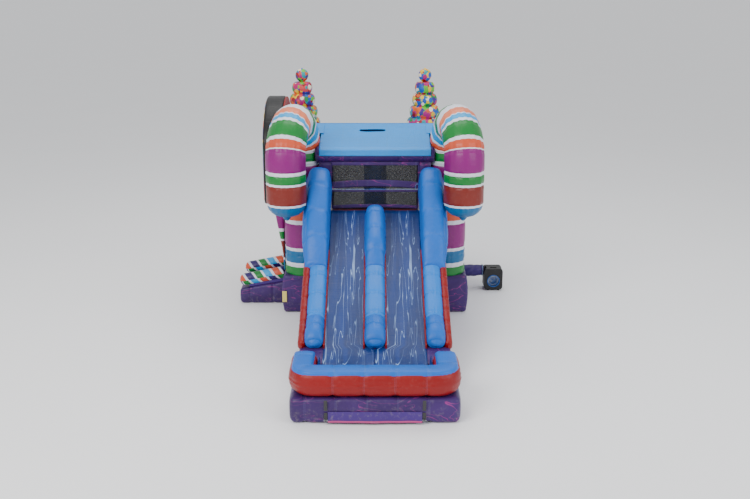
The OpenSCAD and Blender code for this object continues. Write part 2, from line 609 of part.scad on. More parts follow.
// A deflation zip on the rear face: tape, teeth and the stops at both ends.
zip_z = 260;
zip_l = 640;
module zip_parts() color("#28282c") {
    translate([-zip_l / 2, rear_y, zip_z - 20]) cube([zip_l, 3, 40]);
    translate([-zip_l / 2 + 10, rear_y + 3, zip_z - 4]) cube([zip_l - 20, 2, 8]);
    for (s = [-1, 1]) translate([s * (zip_l / 2 - 6) - 5, rear_y + 3, zip_z - 6]) cube([10, 6, 12]);
}
slider_y = rear_y + 5 + GAP;
slider_x = -zip_l / 2 + 30;
bail_r = 1.5;
bail_y = slider_y + 8;
module zip_slider() color("#b4b6ba") translate([slider_x, 0, zip_z]) {
    translate([-9, slider_y, -8]) cube([18, 4, 16]);
    for (x = [-8, 6]) translate([x, slider_y + 4, -3]) cube([2, 7, 6]);
    translate([-7, bail_y, 0]) rotate([0, 90, 0]) cylinder(r = bail_r, h = 14);
}
module zip_pull() color("#b4b6ba") translate([slider_x, bail_y, zip_z]) difference() {
    union() {
        translate([-5, 0, 0]) rotate([0, 90, 0]) cylinder(r = 3.2, h = 10);
        translate([-5, -1, -42]) cube([10, 2, 40]);
    }
    translate([-9, 0, 0]) rotate([0, 90, 0]) cylinder(r = bail_r + run_fit, h = 18);
    translate([0, 3, -34]) rotate([90, 0, 0]) cylinder(r = 2.5, h = 6);
}

module cord_gland() color("#0a0a0c") translate([blower_x - 120, blow_y1, foot_h + 70])
    rotate([-90, 0, 0]) difference() {
        cylinder(r = 10, h = 16);
        translate([0, 0, 4]) cylinder(r = 4.5, h = 20);
    }

// A blank card by the left front corner.
module placard() color("#ebd264") translate([-side_x + 6, front_y - 2, 250]) cube([95, 2, 240]);

jump_base();
jump_floor();
wall_kerb();
cane_left();
cane_right();
rear_posts();
cone_left();
cone_right();
beam_front();
beam_left();
beam_right();
beam_rear();
ridge_frame();
roof_canopy();
net_right();
net_rear();
net_left();
door_frame();
sign_panel();
sign_face();
sign_back();
sign_legs();
ramp_body();
ramp_rails();
climb_wall();
climb_steps();
climb_handles();
divider_post();
slide_body();
air_baffles();
lane_left();
lane_right();
rail_bulbs();
rail_pads();
rail_bumpers();
pool_base();
pool_wall();
pool_ring();
pool_liner();
pool_apron();
anchor_webs();
anchor_ring_left();
anchor_ring_right();
net_upper();
net_flap();
tie_cord();
inflation_sleeve();
sleeve_strap();
blower_housing();
blower_back();
blower_outlet();
inlet_guard();
impeller();
motor();
switch_rocker();
cord_gland();
zip_parts();
zip_slider();
zip_pull();
placard();
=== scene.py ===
# %% [markdown]
# # An inflatable bounce house, cell by cell
# A bounce house is a set of sewn air chambers. Nothing on it is truly flat: a blower keeps every
# chamber round, and the shape is set by where the panels are cut and where inner webs hold them in.
# This lesson rebuilds each chamber as a surface worked out with numpy. The rigid pieces, such as
# the blower, come ready made from the CAD frame and only get their finishes here.
# %% Load the frame
import math

import bmesh
import bpy
import numpy as np
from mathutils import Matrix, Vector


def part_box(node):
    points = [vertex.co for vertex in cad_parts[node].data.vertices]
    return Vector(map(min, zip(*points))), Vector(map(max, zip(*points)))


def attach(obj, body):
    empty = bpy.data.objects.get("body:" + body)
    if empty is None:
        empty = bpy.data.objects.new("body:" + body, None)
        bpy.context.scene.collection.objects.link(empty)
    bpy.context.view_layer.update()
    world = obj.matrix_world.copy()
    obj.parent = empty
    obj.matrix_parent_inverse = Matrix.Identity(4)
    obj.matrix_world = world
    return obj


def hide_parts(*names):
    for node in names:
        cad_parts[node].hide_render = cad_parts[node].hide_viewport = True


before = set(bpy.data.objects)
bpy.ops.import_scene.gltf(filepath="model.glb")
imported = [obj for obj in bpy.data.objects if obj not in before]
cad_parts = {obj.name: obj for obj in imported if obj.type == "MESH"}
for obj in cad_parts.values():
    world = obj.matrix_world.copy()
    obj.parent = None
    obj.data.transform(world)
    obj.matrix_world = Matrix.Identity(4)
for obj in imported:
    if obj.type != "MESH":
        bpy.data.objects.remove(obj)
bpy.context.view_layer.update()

# %% [markdown]
# ## Driving sizes
# Reading the sizes here means that a change in the CAD model moves the soft pieces with it.
# %% Sizes read from the frame


def low_high(node):
    """The node's box as two numpy corners."""
    lo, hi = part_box(node)
    return np.array(lo, float), np.array(hi, float)


def side_name(side):
    """left for -1 and right for 1, as seen from the pool."""
    return "left" if side < 0 else "right"


BASE_LO, BASE_HI = low_high("jump_base")
KERB_LO, KERB_HI = low_high("wall_kerb")
SLIDE_LO, SLIDE_HI = low_high("slide_body")
POOL_LO = low_high("pool_base")[0]
WALL_LO, WALL_HI = low_high("pool_wall")
RING_HI = low_high("pool_ring")[1]
SIDE_X = BASE_HI[0]
FRONT_Y = BASE_LO[1]
REAR_Y = BASE_HI[1]
DECK_Z = SLIDE_HI[2]
SLIDE_END = SLIDE_LO[1]
KERB_Z = KERB_HI[2]
print("jump side", SIDE_X * 2, "deck", DECK_Z, "slide end", SLIDE_END)

# %% [markdown]
# ## Turning a grid of points into a mesh
# Each surface below is a grid of points, so one function can turn any of them into a mesh. Points
# that fall on the same place, as at a pole, are merged, and a closed shape gets outward normals.
# The UV map holds metres: u runs along the piece and v across it, so patterns keep their scale.
# %% Grid to mesh


def grid_mesh(name, points, uv, wrap=False, closed=True, flip=False):
    """A mesh from a grid of points of shape (rows, columns, 3).

    Each cell of the grid becomes one quad between rows i and i + 1 and columns j and j + 1. With
    wrap, the last column joins the first. uv has one more column than points when it wraps.
    """
    rows, cols = points.shape[:2]
    index = np.arange(rows * cols).reshape(rows, cols)
    if wrap:
        index = np.concatenate([index, index[:, :1]], axis=1)
    uv_index = np.arange(uv.shape[0] * uv.shape[1]).reshape(uv.shape[:2])

    def quads(grid):
        """Corner numbers of every cell, going round the cell."""
        return np.stack([grid[:-1, :-1], grid[1:, :-1], grid[1:, 1:], grid[:-1, 1:]], -1).reshape(-1, 4)

    faces = quads(index)
    face_uv = quads(uv_index)
    if flip:
        faces = faces[:, ::-1]
        face_uv = face_uv[:, ::-1]
    mesh = bpy.data.meshes.new(name)
    mesh.vertices.add(rows * cols)
    mesh.vertices.foreach_set("co", points.reshape(-1).astype(np.float32))
    mesh.loops.add(faces.size)
    mesh.loops.foreach_set("vertex_index", faces.reshape(-1).astype(np.int32))
    mesh.polygons.add(len(faces))
    mesh.polygons.foreach_set("loop_start", np.arange(0, faces.size, 4, dtype=np.int32))
    mesh.update(calc_edges=True)
    layer = mesh.uv_layers.new(name="UVMap")
    layer.uv.foreach_set("vector", uv.reshape(-1, 2)[face_uv.reshape(-1)].reshape(-1).astype(np.float32))
    work = bmesh.new()
    work.from_mesh(mesh)
    bmesh.ops.remove_doubles(work, verts=work.verts, dist=1e-5)
    if closed:
        bmesh.ops.recalc_face_normals(work, faces=work.faces)
    work.to_mesh(mesh)
    work.free()
    mesh.polygons.foreach_set("use_smooth", np.ones(len(mesh.polygons), bool))
    return mesh


def place(name, mesh, material, body="root", replaces=()):
    """Puts a mesh in the scene as a piece that rides on a body and may stand for CAD nodes."""
    label = name.replace(" ", "_")
    piece = bpy.data.objects.new("soft_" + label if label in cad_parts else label, mesh)
    bpy.context.scene.collection.objects.link(piece)
    piece.data.materials.append(material)
    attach(piece, body)
    if replaces:
        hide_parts(*replaces)
    return piece


# %% [markdown]
# ## The chamber surface
# An air chamber is a rounded section carried along a path. The section is a rectangle with round
# corners whose sides bow out by a crown, and both ends close with a round edge and a bowed cap.
# Where a panel is sewn to the next one the section pinches in, and the cloth puckers round it.
# %% Sections, paths and chambers


def section(half_w, half_h, corner, crown, flat=6, turn=5):
    """Points of a round-cornered section, one row for each station.

    A side's point is its straight place plus crown times (1 - t squared) outwards, with t from -1
    to 1 along the side. A corner's point is its centre plus the corner radius on a quarter circle.
    crown holds the bow of the right, top, left and bottom sides.
    """
    t = np.linspace(-1, 1, flat + 1)[:-1]
    a = np.linspace(0, math.pi / 2, turn + 1)[:-1]
    core_w = (half_w - corner)[:, None]
    core_h = (half_h - corner)[:, None]
    r = corner[:, None]
    bow = 1 - t * t
    parts = []
    for side in range(4):
        w, h = (core_w, core_h) if side % 2 == 0 else (core_h, core_w)
        puff = crown[side] * bow[None, :] * np.minimum(1, h / 0.2)
        out = np.concatenate([w + r + puff, w + r * np.cos(a)[None, :]], axis=1)
        up = np.concatenate([h * t[None, :], h + r * np.sin(a)[None, :]], axis=1)
        spin = ((1, 0), (0, 1), (-1, 0), (0, -1))[side]
        parts.append(np.stack([out * spin[0] - up * spin[1], out * spin[1] + up * spin[0]], -1))
    return np.concatenate(parts, axis=1)


def along_path(path, s):
    """The points at distances s along a path of points, found by straight interpolation."""
    step = np.linalg.norm(np.diff(path, axis=0), axis=1)
    length = np.concatenate([[0], np.cumsum(step)])
    return np.stack([np.interp(s, length, path[:, k]) for k in range(3)], -1)


def path_length(path):
    """The length of a path of points: the sum of its steps."""
    return float(np.linalg.norm(np.diff(path, axis=0), axis=1).sum())


def rounded_path(corners, radius, steps=10):
    """A path through corner points with each inner corner replaced by a curve of that size.

    The curve is the quadratic (1-t)^2 a + 2t(1-t) c + t^2 b from a before the corner to b after.
    """
    corners = np.array(corners, float)
    out = [corners[:1]]
    t = np.linspace(0, 1, steps)[:, None]
    for before, at, after in zip(corners[:-2], corners[1:-1], corners[2:]):
        a = at + (before - at) / np.linalg.norm(before - at) * radius
        b = at + (after - at) / np.linalg.norm(after - at) * radius
        out.append((1 - t) ** 2 * a + 2 * t * (1 - t) * at + t ** 2 * b)
    out.append(corners[-1:])
    return np.concatenate(out)


def chamber(name, path, half_w, half_h, corner, crown=0.02, ends=(0.06, 0.06), bulge=(0.02, 0.02),
            seams=(), pinch=(0.012, 0.05), pucker=(0, 0.0), gores=(0, 0.0), axes=None, step=0.06,
            flat=6, turn=5):
    """A closed chamber: section(s) carried along path, with s the distance in metres.

    At an end of radius r the section shrinks by r - sqrt(r^2 - (r - s)^2), then a cap closes it.
    At a seam at distance s0 it shrinks by depth times exp(-((s - s0) / width)^2), and a pucker
    adds a ripple round the section there. Gores are lengthwise seams that pinch the section in.
    axes are fixed directions for its width and height, which otherwise stay square to the path.
    half_w, half_h and corner are numbers or functions of s.
    """
    path = np.array(path, float)
    total = path_length(path)
    r0, r1 = ends
    phi = np.linspace(0, math.pi / 2, 7)
    inner = np.linspace(r0, total - r1, max(3, int((total - r0 - r1) / step)))
    near = [np.linspace(s - pinch[1] * 1.6, s + pinch[1] * 1.6, 9) for s in seams]
    inner = np.unique(np.clip(np.concatenate([inner] + near), r0, total - r1))
    s = np.concatenate([r0 * (1 - np.cos(phi))[:-1], inner, total - r1 * (1 - np.cos(phi[::-1]))[1:]])
    inset = np.zeros_like(s)
    head = s < r0
    tail = s > total - r1
    inset[head] = r0 - np.sqrt(np.maximum(0, r0 ** 2 - (r0 - s[head]) ** 2))
    inset[tail] = r1 - np.sqrt(np.maximum(0, r1 ** 2 - (r1 - (total - s[tail])) ** 2))
    cap = np.array([0.0, 0.25, 0.5, 0.75, 0.92])
    scale = np.concatenate([cap, np.ones_like(s), cap[::-1]])
    push = np.concatenate([-bulge[0] * (1 - cap ** 2), np.zeros_like(s), bulge[1] * (1 - cap[::-1] ** 2)])
    s = np.concatenate([np.full(5, 0.0), s, np.full(5, total)])
    inset = np.concatenate([np.full(5, r0), inset, np.full(5, r1)])
    for at in seams:
        inset = inset + pinch[0] * np.exp(-((s - at) / pinch[1]) ** 2)

    def value(f):
        """A size at every station, from a number or a function of distance."""
        return np.asarray(f(s) if callable(f) else np.full_like(s, f), float)

    half_w, half_h = value(half_w) - inset, value(half_h) - inset
    corner = np.minimum(value(corner), np.minimum(half_w, half_h) - 1e-4)
    bow = (crown,) * 4 if np.isscalar(crown) else crown
    flat_xy = section(half_w, half_h, np.maximum(corner, 1e-4), bow, flat, turn)
    if pucker[0]:
        near_seam = sum(np.exp(-((s - at) / (2.2 * pinch[1])) ** 2) for at in seams) + 0 * s
        angle = np.arctan2(flat_xy[..., 1], flat_xy[..., 0])
        ripple = pucker[1] * near_seam[:, None] * np.cos(pucker[0] * angle + 3 * np.sin(2 * angle))
        flat_xy = flat_xy * (1 + ripple / np.maximum(np.linalg.norm(flat_xy, axis=-1), 1e-3))[..., None]
    if gores[0]:
        angle = np.arctan2(flat_xy[..., 1], flat_xy[..., 0])
        flat_xy = flat_xy * (1 - gores[1] * np.abs(np.cos(gores[0] * angle / 2)) ** 6)[..., None]
    flat_xy = flat_xy * scale[:, None, None]
    centre = along_path(path, s)
    ahead = along_path(path, np.minimum(s + 0.01, total)) - along_path(path, np.maximum(s - 0.01, 0))
    ahead /= np.linalg.norm(ahead, axis=1, keepdims=True)
    if axes is None:
        ref = np.array([0, 0, 1.0]) if abs(ahead[:, 2]).max() < 0.95 else np.array([1.0, 0, 0])
        side = np.cross(ahead, ref)
        side /= np.linalg.norm(side, axis=1, keepdims=True)
        top = np.cross(side, ahead)
    else:
        side = np.tile(np.array(axes[0], float), (len(s), 1))
        top = np.tile(np.array(axes[1], float), (len(s), 1))
    centre = centre + ahead * push[:, None]
    points = centre[:, None] + flat_xy[..., :1] * side[:, None] + flat_xy[..., 1:] * top[:, None]
    ring = np.linalg.norm(np.diff(np.concatenate([flat_xy, flat_xy[:, :1]], 1), axis=1), axis=-1)
    around = np.concatenate([np.zeros((len(s), 1)), np.cumsum(ring, axis=1)], axis=1)
    uv = np.stack([np.broadcast_to((s + push)[:, None], around.shape), around], -1)
    return grid_mesh(name, points, uv, wrap=True)


def even_seams(path, spacing):
    """Distances of sewn seams along a path: at (k + 0.5) times the spacing, clear of the far end."""
    total = path_length(np.array(path, float))
    places = [spacing * (k + 0.5) for k in range(int(total / spacing) + 1)]
    return [place_at for place_at in places if place_at < total - 0.06]


# %% [markdown]
# ## Sheets
# Roof, lanes, nets and flaps are single layers of cloth. Each is a function of two numbers from 0
# to 1 that gives a point, worked out for the whole grid at once, and Solidify gives the thickness.
# %% Sheet surfaces


CLOTH_T, NET_T = 0.0015, 0.0012


def sheet_piece(name, surface, size, count, material, thick=CLOTH_T, body="root", replaces=(),
                flip=False):
    """A sheet from surface(u, v), with u across and v along, both from 0 to 1.

    size is (width, length) in metres and sets the UV map. count is (columns, rows) of the grid.
    """
    v, u = np.meshgrid(np.linspace(0, 1, count[1]), np.linspace(0, 1, count[0]), indexing="ij")
    points = np.stack(np.broadcast_arrays(*surface(u, v)), -1)
    uv = np.stack([u * size[0], v * size[1]], -1)
    piece = place(name, grid_mesh(name, points, uv, closed=False, flip=flip), material, body, replaces)
    solid = piece.modifiers.new("thickness", "SOLIDIFY")
    solid.thickness = thick
    solid.offset = 0
    return piece


def ripple(u, v, seed, waves=5, scale=1.0):
    """A smooth random height: a sum of sine waves with seeded directions, phases and sizes."""
    rng = np.random.default_rng(seed)
    out = np.zeros(np.broadcast(u, v).shape)
    for k in range(waves):
        angle, phase, rate = rng.uniform(0, math.pi), rng.uniform(0, 6.28), rng.uniform(3, 14) * scale
        out = out + np.sin(rate * (u * math.cos(angle) + v * math.sin(angle)) + phase) / (1 + 0.25 * k)
    return out / waves


# %% [markdown]
# ## Shader building blocks
# Coated vinyl, webbing, netting and moulded plastic share a few effects. Each effect is a node
# group that gives only a colour, a mask or a height, so any material can use it.
# %% Node helpers


def srgb(red, green, blue):
    """A display colour from 0 to 255 as linear light: ((c + 0.055) / 1.055)^2.4, c / 12.92 if dark."""
    c = np.array([red, green, blue]) / 255
    linear = np.where(c <= 0.04045, c / 12.92, ((c + 0.055) / 1.055) ** 2.4)
    return (*[float(x) for x in linear], 1.0)


def add(tree, kind, inputs=None, **settings):
    """Adds a node, sets its settings, and links or sets its inputs."""
    node = tree.nodes.new(kind)
    for key, value in settings.items():
        setattr(node, key, value)
    for key, value in (inputs or {}).items():
        if isinstance(value, bpy.types.NodeSocket):
            tree.links.new(value, node.inputs[key])
        else:
            node.inputs[key].default_value = value
    return node


def calc(tree, operation, *values):
    """A Math node's output for the given values or sockets."""
    return add(tree, "ShaderNodeMath", dict(enumerate(values)), operation=operation).outputs[0]


def blend_colour(tree, factor, a, b, mode="MIX"):
    """A colour between a and b."""
    node = add(tree, "ShaderNodeMix", {0: factor, 6: a, 7: b}, data_type="RGBA", blend_type=mode)
    return node.outputs[2]


def noise(tree, vector, scale, detail=3.0, rough=0.5, distort=0.0):
    """A noise value from 0 to 1 at the given scale, in cycles per metre."""
    node = add(tree, "ShaderNodeTexNoise", {"Vector": vector, "Scale": scale, "Detail": detail,
                                           "Roughness": rough, "Distortion": distort})
    return node.outputs["Fac"]


def soft_step(tree, value, low, high):
    """0 below low, 1 above high and smooth between them."""
    node = add(tree, "ShaderNodeMapRange", {"Value": value, "From Min": low, "From Max": high},
               interpolation_type="SMOOTHSTEP")
    return node.outputs["Result"]


def stretched(tree, vector, scale, turn=(0.0, 0.0, 0.0)):
    """The vector scaled on each axis after a turn."""
    return add(tree, "ShaderNodeMapping", {"Vector": vector, "Scale": scale, "Rotation": turn}).outputs[0]


def group(name, inputs, outputs):
    """A new node group with its sockets. Gives the tree, the input node and the output node."""
    tree = bpy.data.node_groups.new(name, "ShaderNodeTree")
    for label, kind in inputs:
        tree.interface.new_socket(label, in_out="INPUT", socket_type="NodeSocket" + kind)
    for label, kind in outputs:
        tree.interface.new_socket(label, in_out="OUTPUT", socket_type="NodeSocket" + kind)
    return tree, add(tree, "NodeGroupInput"), add(tree, "NodeGroupOutput")


def use(tree, shared, inputs):
    """Puts a shared group in a tree and gives its outputs."""
    node = add(tree, "ShaderNodeGroup", node_tree=shared)
    for key, value in inputs.items():
        if isinstance(value, bpy.types.NodeSocket):
            tree.links.new(value, node.inputs[key])
        else:
            node.inputs[key].default_value = value
    return node.outputs


# %% [markdown]
# ## Shared effects
# Vinyl cloth is a polyester scrim coated on both sides, so its threads show as a faint grid. Air
# pressure pulls wrinkles out of it towards the seams. Dust and scuffs gather low down.
# %% Effect: coated scrim with wrinkles and dust
SCRIM, inp, out = group("coated scrim", [("UV", "Vector"), ("Place", "Vector"), ("Wrinkle", "Float")],
                        [("Height", "Float"), ("Shade", "Float"), ("Dust", "Float"), ("Rough", "Float")])
axes_uv = add(SCRIM, "ShaderNodeSeparateXYZ", {0: inp.outputs["UV"]})
axes_place = add(SCRIM, "ShaderNodeSeparateXYZ", {0: inp.outputs["Place"]})
thread_u = calc(SCRIM, "SINE", calc(SCRIM, "MULTIPLY", axes_uv.outputs[0], 3900.0))
thread_v = calc(SCRIM, "SINE", calc(SCRIM, "MULTIPLY", axes_uv.outputs[1], 3900.0))
thread = calc(SCRIM, "MULTIPLY", calc(SCRIM, "ADD", thread_u, thread_v), 0.00006)
fold_u = noise(SCRIM, stretched(SCRIM, inp.outputs["UV"], (1.2, 6.5, 1.0)), 1.0, 2.0, 0.45, 0.8)
fold_v = noise(SCRIM, stretched(SCRIM, inp.outputs["UV"], (9.0, 1.6, 1.0)), 1.0, 3.0, 0.5, 1.2)
fold = calc(SCRIM, "ADD", calc(SCRIM, "MULTIPLY", fold_u, 0.016), calc(SCRIM, "MULTIPLY", fold_v, 0.012))
height = calc(SCRIM, "ADD", thread, calc(SCRIM, "MULTIPLY", fold, inp.outputs["Wrinkle"]))
fade = noise(SCRIM, inp.outputs["Place"], 1.7, 4.0, 0.6)
low_down = soft_step(SCRIM, axes_place.outputs[2], 0.45, 0.0)
specks = soft_step(SCRIM, noise(SCRIM, inp.outputs["Place"], 14.0, 6.0, 0.7), 0.5, 0.75)
dust = calc(SCRIM, "MULTIPLY", calc(SCRIM, "ADD", calc(SCRIM, "MULTIPLY", low_down, 0.8), 0.12), specks)
for label, value in (("Height", height), ("Dust", dust),
                     ("Shade", calc(SCRIM, "MULTIPLY_ADD", fade, 0.22, 0.89)),
                     ("Rough", calc(SCRIM, "MULTIPLY_ADD", fade, 0.25, -0.1))):
    SCRIM.links.new(value, out.inputs[label])

# %% Effect: a lap seam with two rows of stitching at an even spacing
SEAMS, inp, out = group("lap seams", [("Across", "Float"), ("Along", "Float"), ("Spacing", "Float")],
                        [("Stitch", "Float"), ("Height", "Float")])
turns = calc(SEAMS, "DIVIDE", inp.outputs["Across"], inp.outputs["Spacing"])
offset = calc(SEAMS, "SUBTRACT", calc(SEAMS, "FRACT", turns), 0.5)
away = calc(SEAMS, "MULTIPLY", calc(SEAMS, "ABSOLUTE", offset), inp.outputs["Spacing"])
lap = soft_step(SEAMS, away, 0.022, 0.017)
row = soft_step(SEAMS, calc(SEAMS, "ABSOLUTE", calc(SEAMS, "SUBTRACT", away, 0.010)), 0.0022, 0.0008)
dash = soft_step(SEAMS, calc(SEAMS, "FRACT", calc(SEAMS, "MULTIPLY", inp.outputs["Along"], 120.0)), 0.2, 0.35)
stitch = calc(SEAMS, "MULTIPLY", row, dash)
SEAMS.links.new(stitch, out.inputs["Stitch"])
SEAMS.links.new(calc(SEAMS, "MULTIPLY_ADD", stitch, -0.0008, calc(SEAMS, "MULTIPLY", lap, 0.0012)),
                out.inputs["Height"])

# %% Effect: printed marble with thin veins and soft clouds
MARBLE, inp, out = group("marble print", [("Vector", "Vector"), ("Scale", "Float"), ("Width", "Float")],
                         [("Vein", "Float"), ("Cloud", "Float")])
wander = add(MARBLE, "ShaderNodeTexNoise", {"Vector": inp.outputs["Vector"], "Scale": inp.outputs["Scale"],
                                            "Detail": 2.0, "Roughness": 0.5, "Distortion": 0.9})
ridge = calc(MARBLE, "ABSOLUTE", calc(MARBLE, "SUBTRACT", wander.outputs["Fac"], 0.5))
vein_raw = add(MARBLE, "ShaderNodeMapRange", {"Value": ridge, "From Min": inp.outputs["Width"],
                                              "From Max": 0.0}, interpolation_type="SMOOTHSTEP")
twice = calc(MARBLE, "MULTIPLY", inp.outputs["Scale"], 0.45)
cloud = add(MARBLE, "ShaderNodeTexNoise", {"Vector": inp.outputs["Vector"], "Scale": twice, "Detail": 5.0,
                                           "Roughness": 0.6, "Distortion": 0.6})
patchy = soft_step(MARBLE, cloud.outputs["Fac"], 0.34, 0.62)
vein = calc(MARBLE, "MULTIPLY", vein_raw.outputs["Result"], calc(MARBLE, "MULTIPLY_ADD", patchy, 0.75, 0.25))
MARBLE.links.new(vein, out.inputs["Vein"])
MARBLE.links.new(patchy, out.inputs["Cloud"])

# %% Effect: a print of overlapping ovals in many colours
BEANS, inp, out = group("oval print", [("Vector", "Vector"), ("Scale", "Float")], [("Color", "Color")])
BEAN_COLOURS = [(20, 110, 190), (225, 120, 45), (235, 200, 60), (170, 20, 40), (40, 150, 80), (120, 195, 60),
                (190, 45, 130), (90, 60, 150), (245, 232, 205), (30, 165, 170), (225, 95, 90)]


def colour_steps(tree, value, colours):
    """A ramp that gives each colour an equal share of the range from 0 to 1."""
    ramp = add(tree, "ShaderNodeValToRGB", {0: value})
    ramp.color_ramp.interpolation = "CONSTANT"
    points = ramp.color_ramp.elements
    while len(points) < len(colours):
        points.new(0.5)
    for k, colour in enumerate(colours):
        points[k].position = k / len(colours)
        points[k].color = srgb(*colour)
    return ramp.outputs["Color"]


bean_colour = colour_steps(BEANS, 0.0, BEAN_COLOURS)
for layer in range(4):
    turned_vector = stretched(BEANS, inp.outputs["Vector"], (1.0, 0.62, 0.8), (0.3, 0.2, 0.7 * layer))
    shifted = add(BEANS, "ShaderNodeVectorMath",
                  {0: turned_vector, 1: (layer * 3.7, layer * 1.3, layer * 2.1)},
                  operation="ADD").outputs[0]
    cells = add(BEANS, "ShaderNodeTexVoronoi", {"Vector": shifted, "Scale": inp.outputs["Scale"],
                                                "Randomness": 0.75}, feature="F1")
    tint = colour_steps(BEANS, add(BEANS, "ShaderNodeSeparateColor", {0: cells.outputs["Color"]}).outputs[0],
                        BEAN_COLOURS[layer:] + BEAN_COLOURS[:layer])
    inside = soft_step(BEANS, cells.outputs["Distance"], 0.44 if layer else 5.0, 0.42 if layer else 4.9)
    bean_colour = blend_colour(BEANS, inside, bean_colour, tint)
BEANS.links.new(bean_colour, out.inputs["Color"])

# %% Effect: knotless netting, ribbed webbing and moulded grain
NETTING, inp, out = group("netting", [("UV", "Vector"), ("Pitch", "Float")],
                          [("Alpha", "Float"), ("Height", "Float")])
net_axes = add(NETTING, "ShaderNodeSeparateXYZ", {0: stretched(NETTING, inp.outputs["UV"], (1, 1, 1),
                                                               (0, 0, 0.785))})
strands = []
for axis in (0, 1):
    cell = calc(NETTING, "FRACT", calc(NETTING, "DIVIDE", net_axes.outputs[axis], inp.outputs["Pitch"]))
    strands.append(soft_step(NETTING, calc(NETTING, "ABSOLUTE", calc(NETTING, "SUBTRACT", cell, 0.5)), 0.3,
                             0.25))
strand = calc(NETTING, "MAXIMUM", strands[0], strands[1])
NETTING.links.new(calc(NETTING, "MULTIPLY_ADD", strand, 0.35, 0.3), out.inputs["Alpha"])
NETTING.links.new(calc(NETTING, "MULTIPLY", strand, 0.0008), out.inputs["Height"])

WEB, inp, out = group("ribbed webbing", [("UV", "Vector")], [("Height", "Float"), ("Shade", "Float")])
web_axes = add(WEB, "ShaderNodeSeparateXYZ", {0: inp.outputs["UV"]})
rib = calc(WEB, "SINE", calc(WEB, "MULTIPLY", web_axes.outputs[0], 2400.0))
twill = calc(WEB, "SINE", calc(WEB, "MULTIPLY", calc(WEB, "ADD", web_axes.outputs[0], web_axes.outputs[1]),
                               1500.0))
WEB.links.new(calc(WEB, "MULTIPLY", calc(WEB, "ADD", rib, twill), 0.00025), out.inputs["Height"])
WEB.links.new(calc(WEB, "MULTIPLY_ADD", twill, 0.12, 0.9), out.inputs["Shade"])

GRAIN, inp, out = group("moulded grain", [("Place", "Vector")],
                        [("Height", "Float"), ("Shade", "Float"), ("Wear", "Float")])
pebble = noise(GRAIN, inp.outputs["Place"], 900.0, 2.0, 0.5)
blotch = noise(GRAIN, inp.outputs["Place"], 11.0, 5.0, 0.65)
scuff = soft_step(GRAIN, noise(GRAIN, stretched(GRAIN, inp.outputs["Place"], (40, 7, 90)), 1.0, 4.0), 0.6,
                  0.75)
GRAIN.links.new(calc(GRAIN, "MULTIPLY", pebble, 0.0004), out.inputs["Height"])
GRAIN.links.new(calc(GRAIN, "MULTIPLY_ADD", blotch, 0.35, 0.82), out.inputs["Shade"])
GRAIN.links.new(scuff, out.inputs["Wear"])
print("shared effects:", len(bpy.data.node_groups))

# %% [markdown]
# ## Materials
# The coating is a soft, slightly glossy plastic. Print, shade, seams and dust go into the colour,
# and weave, wrinkles and stitches go into the bump. The colour is a plain value or a function that
# adds its own nodes, so one recipe serves plain, marbled, striped and oval-printed vinyl.
# %% Vinyl recipe


def start_material(name):
    """A new material with its Principled shader, own UV map and object coordinates."""
    made = bpy.data.materials.new(name)
    made.use_nodes = True
    tree = made.node_tree
    tree.nodes.clear()
    shader = add(tree, "ShaderNodeBsdfPrincipled")
    tree.links.new(shader.outputs[0], add(tree, "ShaderNodeOutputMaterial").inputs["Surface"])
    coords = add(tree, "ShaderNodeTexCoord")
    return made, tree, shader, coords.outputs["UV"], coords.outputs["Object"]


def shaded(tree, colour, shade):
    """The colour times a grey factor."""
    grey = add(tree, "ShaderNodeCombineColor", {0: shade, 1: shade, 2: shade}).outputs[0]
    return blend_colour(tree, 1.0, colour, grey, "MULTIPLY")


def vinyl(name, paint, wrinkle=1.0, seam=(0, 0.0), rough=0.42, thread=(150, 160, 185), dusty=1.0):
    """Coated vinyl. seam is (UV axis counted across the seams, spacing in metres), 0 for none."""
    made, tree, shader, uv, at = start_material(name)
    cloth = use(tree, SCRIM, {"UV": uv, "Place": at, "Wrinkle": wrinkle})
    colour = paint(tree, uv, at) if callable(paint) else srgb(*paint)
    colour = shaded(tree, colour, cloth["Shade"])
    height_sum = cloth["Height"]
    if seam[1]:
        axes_here = add(tree, "ShaderNodeSeparateXYZ", {0: uv}).outputs
        sewn = use(tree, SEAMS, {"Across": axes_here[seam[0]], "Along": axes_here[1 - seam[0]],
                                 "Spacing": seam[1]})
        colour = blend_colour(tree, calc(tree, "MULTIPLY", sewn["Stitch"], 0.5), colour, srgb(*thread))
        height_sum = calc(tree, "ADD", height_sum, sewn["Height"])
    colour = add(tree, "ShaderNodeGamma", {"Color": colour, "Gamma": 1.3}).outputs[0]
    colour = blend_colour(tree, calc(tree, "MULTIPLY", cloth["Dust"], 0.35 * dusty), colour,
                          srgb(168, 158, 142))
    tree.links.new(colour, shader.inputs["Base Color"])
    tree.links.new(calc(tree, "ADD", cloth["Rough"], rough), shader.inputs["Roughness"])
    shader.inputs["Specular IOR Level"].default_value = 0.35
    shader.inputs["Coat Weight"].default_value = 0.08
    shader.inputs["Coat Roughness"].default_value = 0.3
    bump = add(tree, "ShaderNodeBump", {"Height": height_sum, "Strength": 0.55, "Distance": 1.0})
    tree.links.new(bump.outputs[0], shader.inputs["Normal"])
    return made


def marbled(ground, vein, cloud, scale=2.6, width=0.035, stretch=(1.0, 1.0, 1.0), by_uv=False):
    """A paint function for marble print: clouds over the ground colour and thin veins on top."""
    def paint(tree, uv, at):
        vector = stretched(tree, uv if by_uv else at, stretch)
        marks = use(tree, MARBLE, {"Vector": vector, "Scale": scale, "Width": width})
        base = blend_colour(tree, calc(tree, "MULTIPLY", marks["Cloud"], 0.55), srgb(*ground), srgb(*cloud))
        return blend_colour(tree, marks["Vein"], base, srgb(*vein))
    return paint


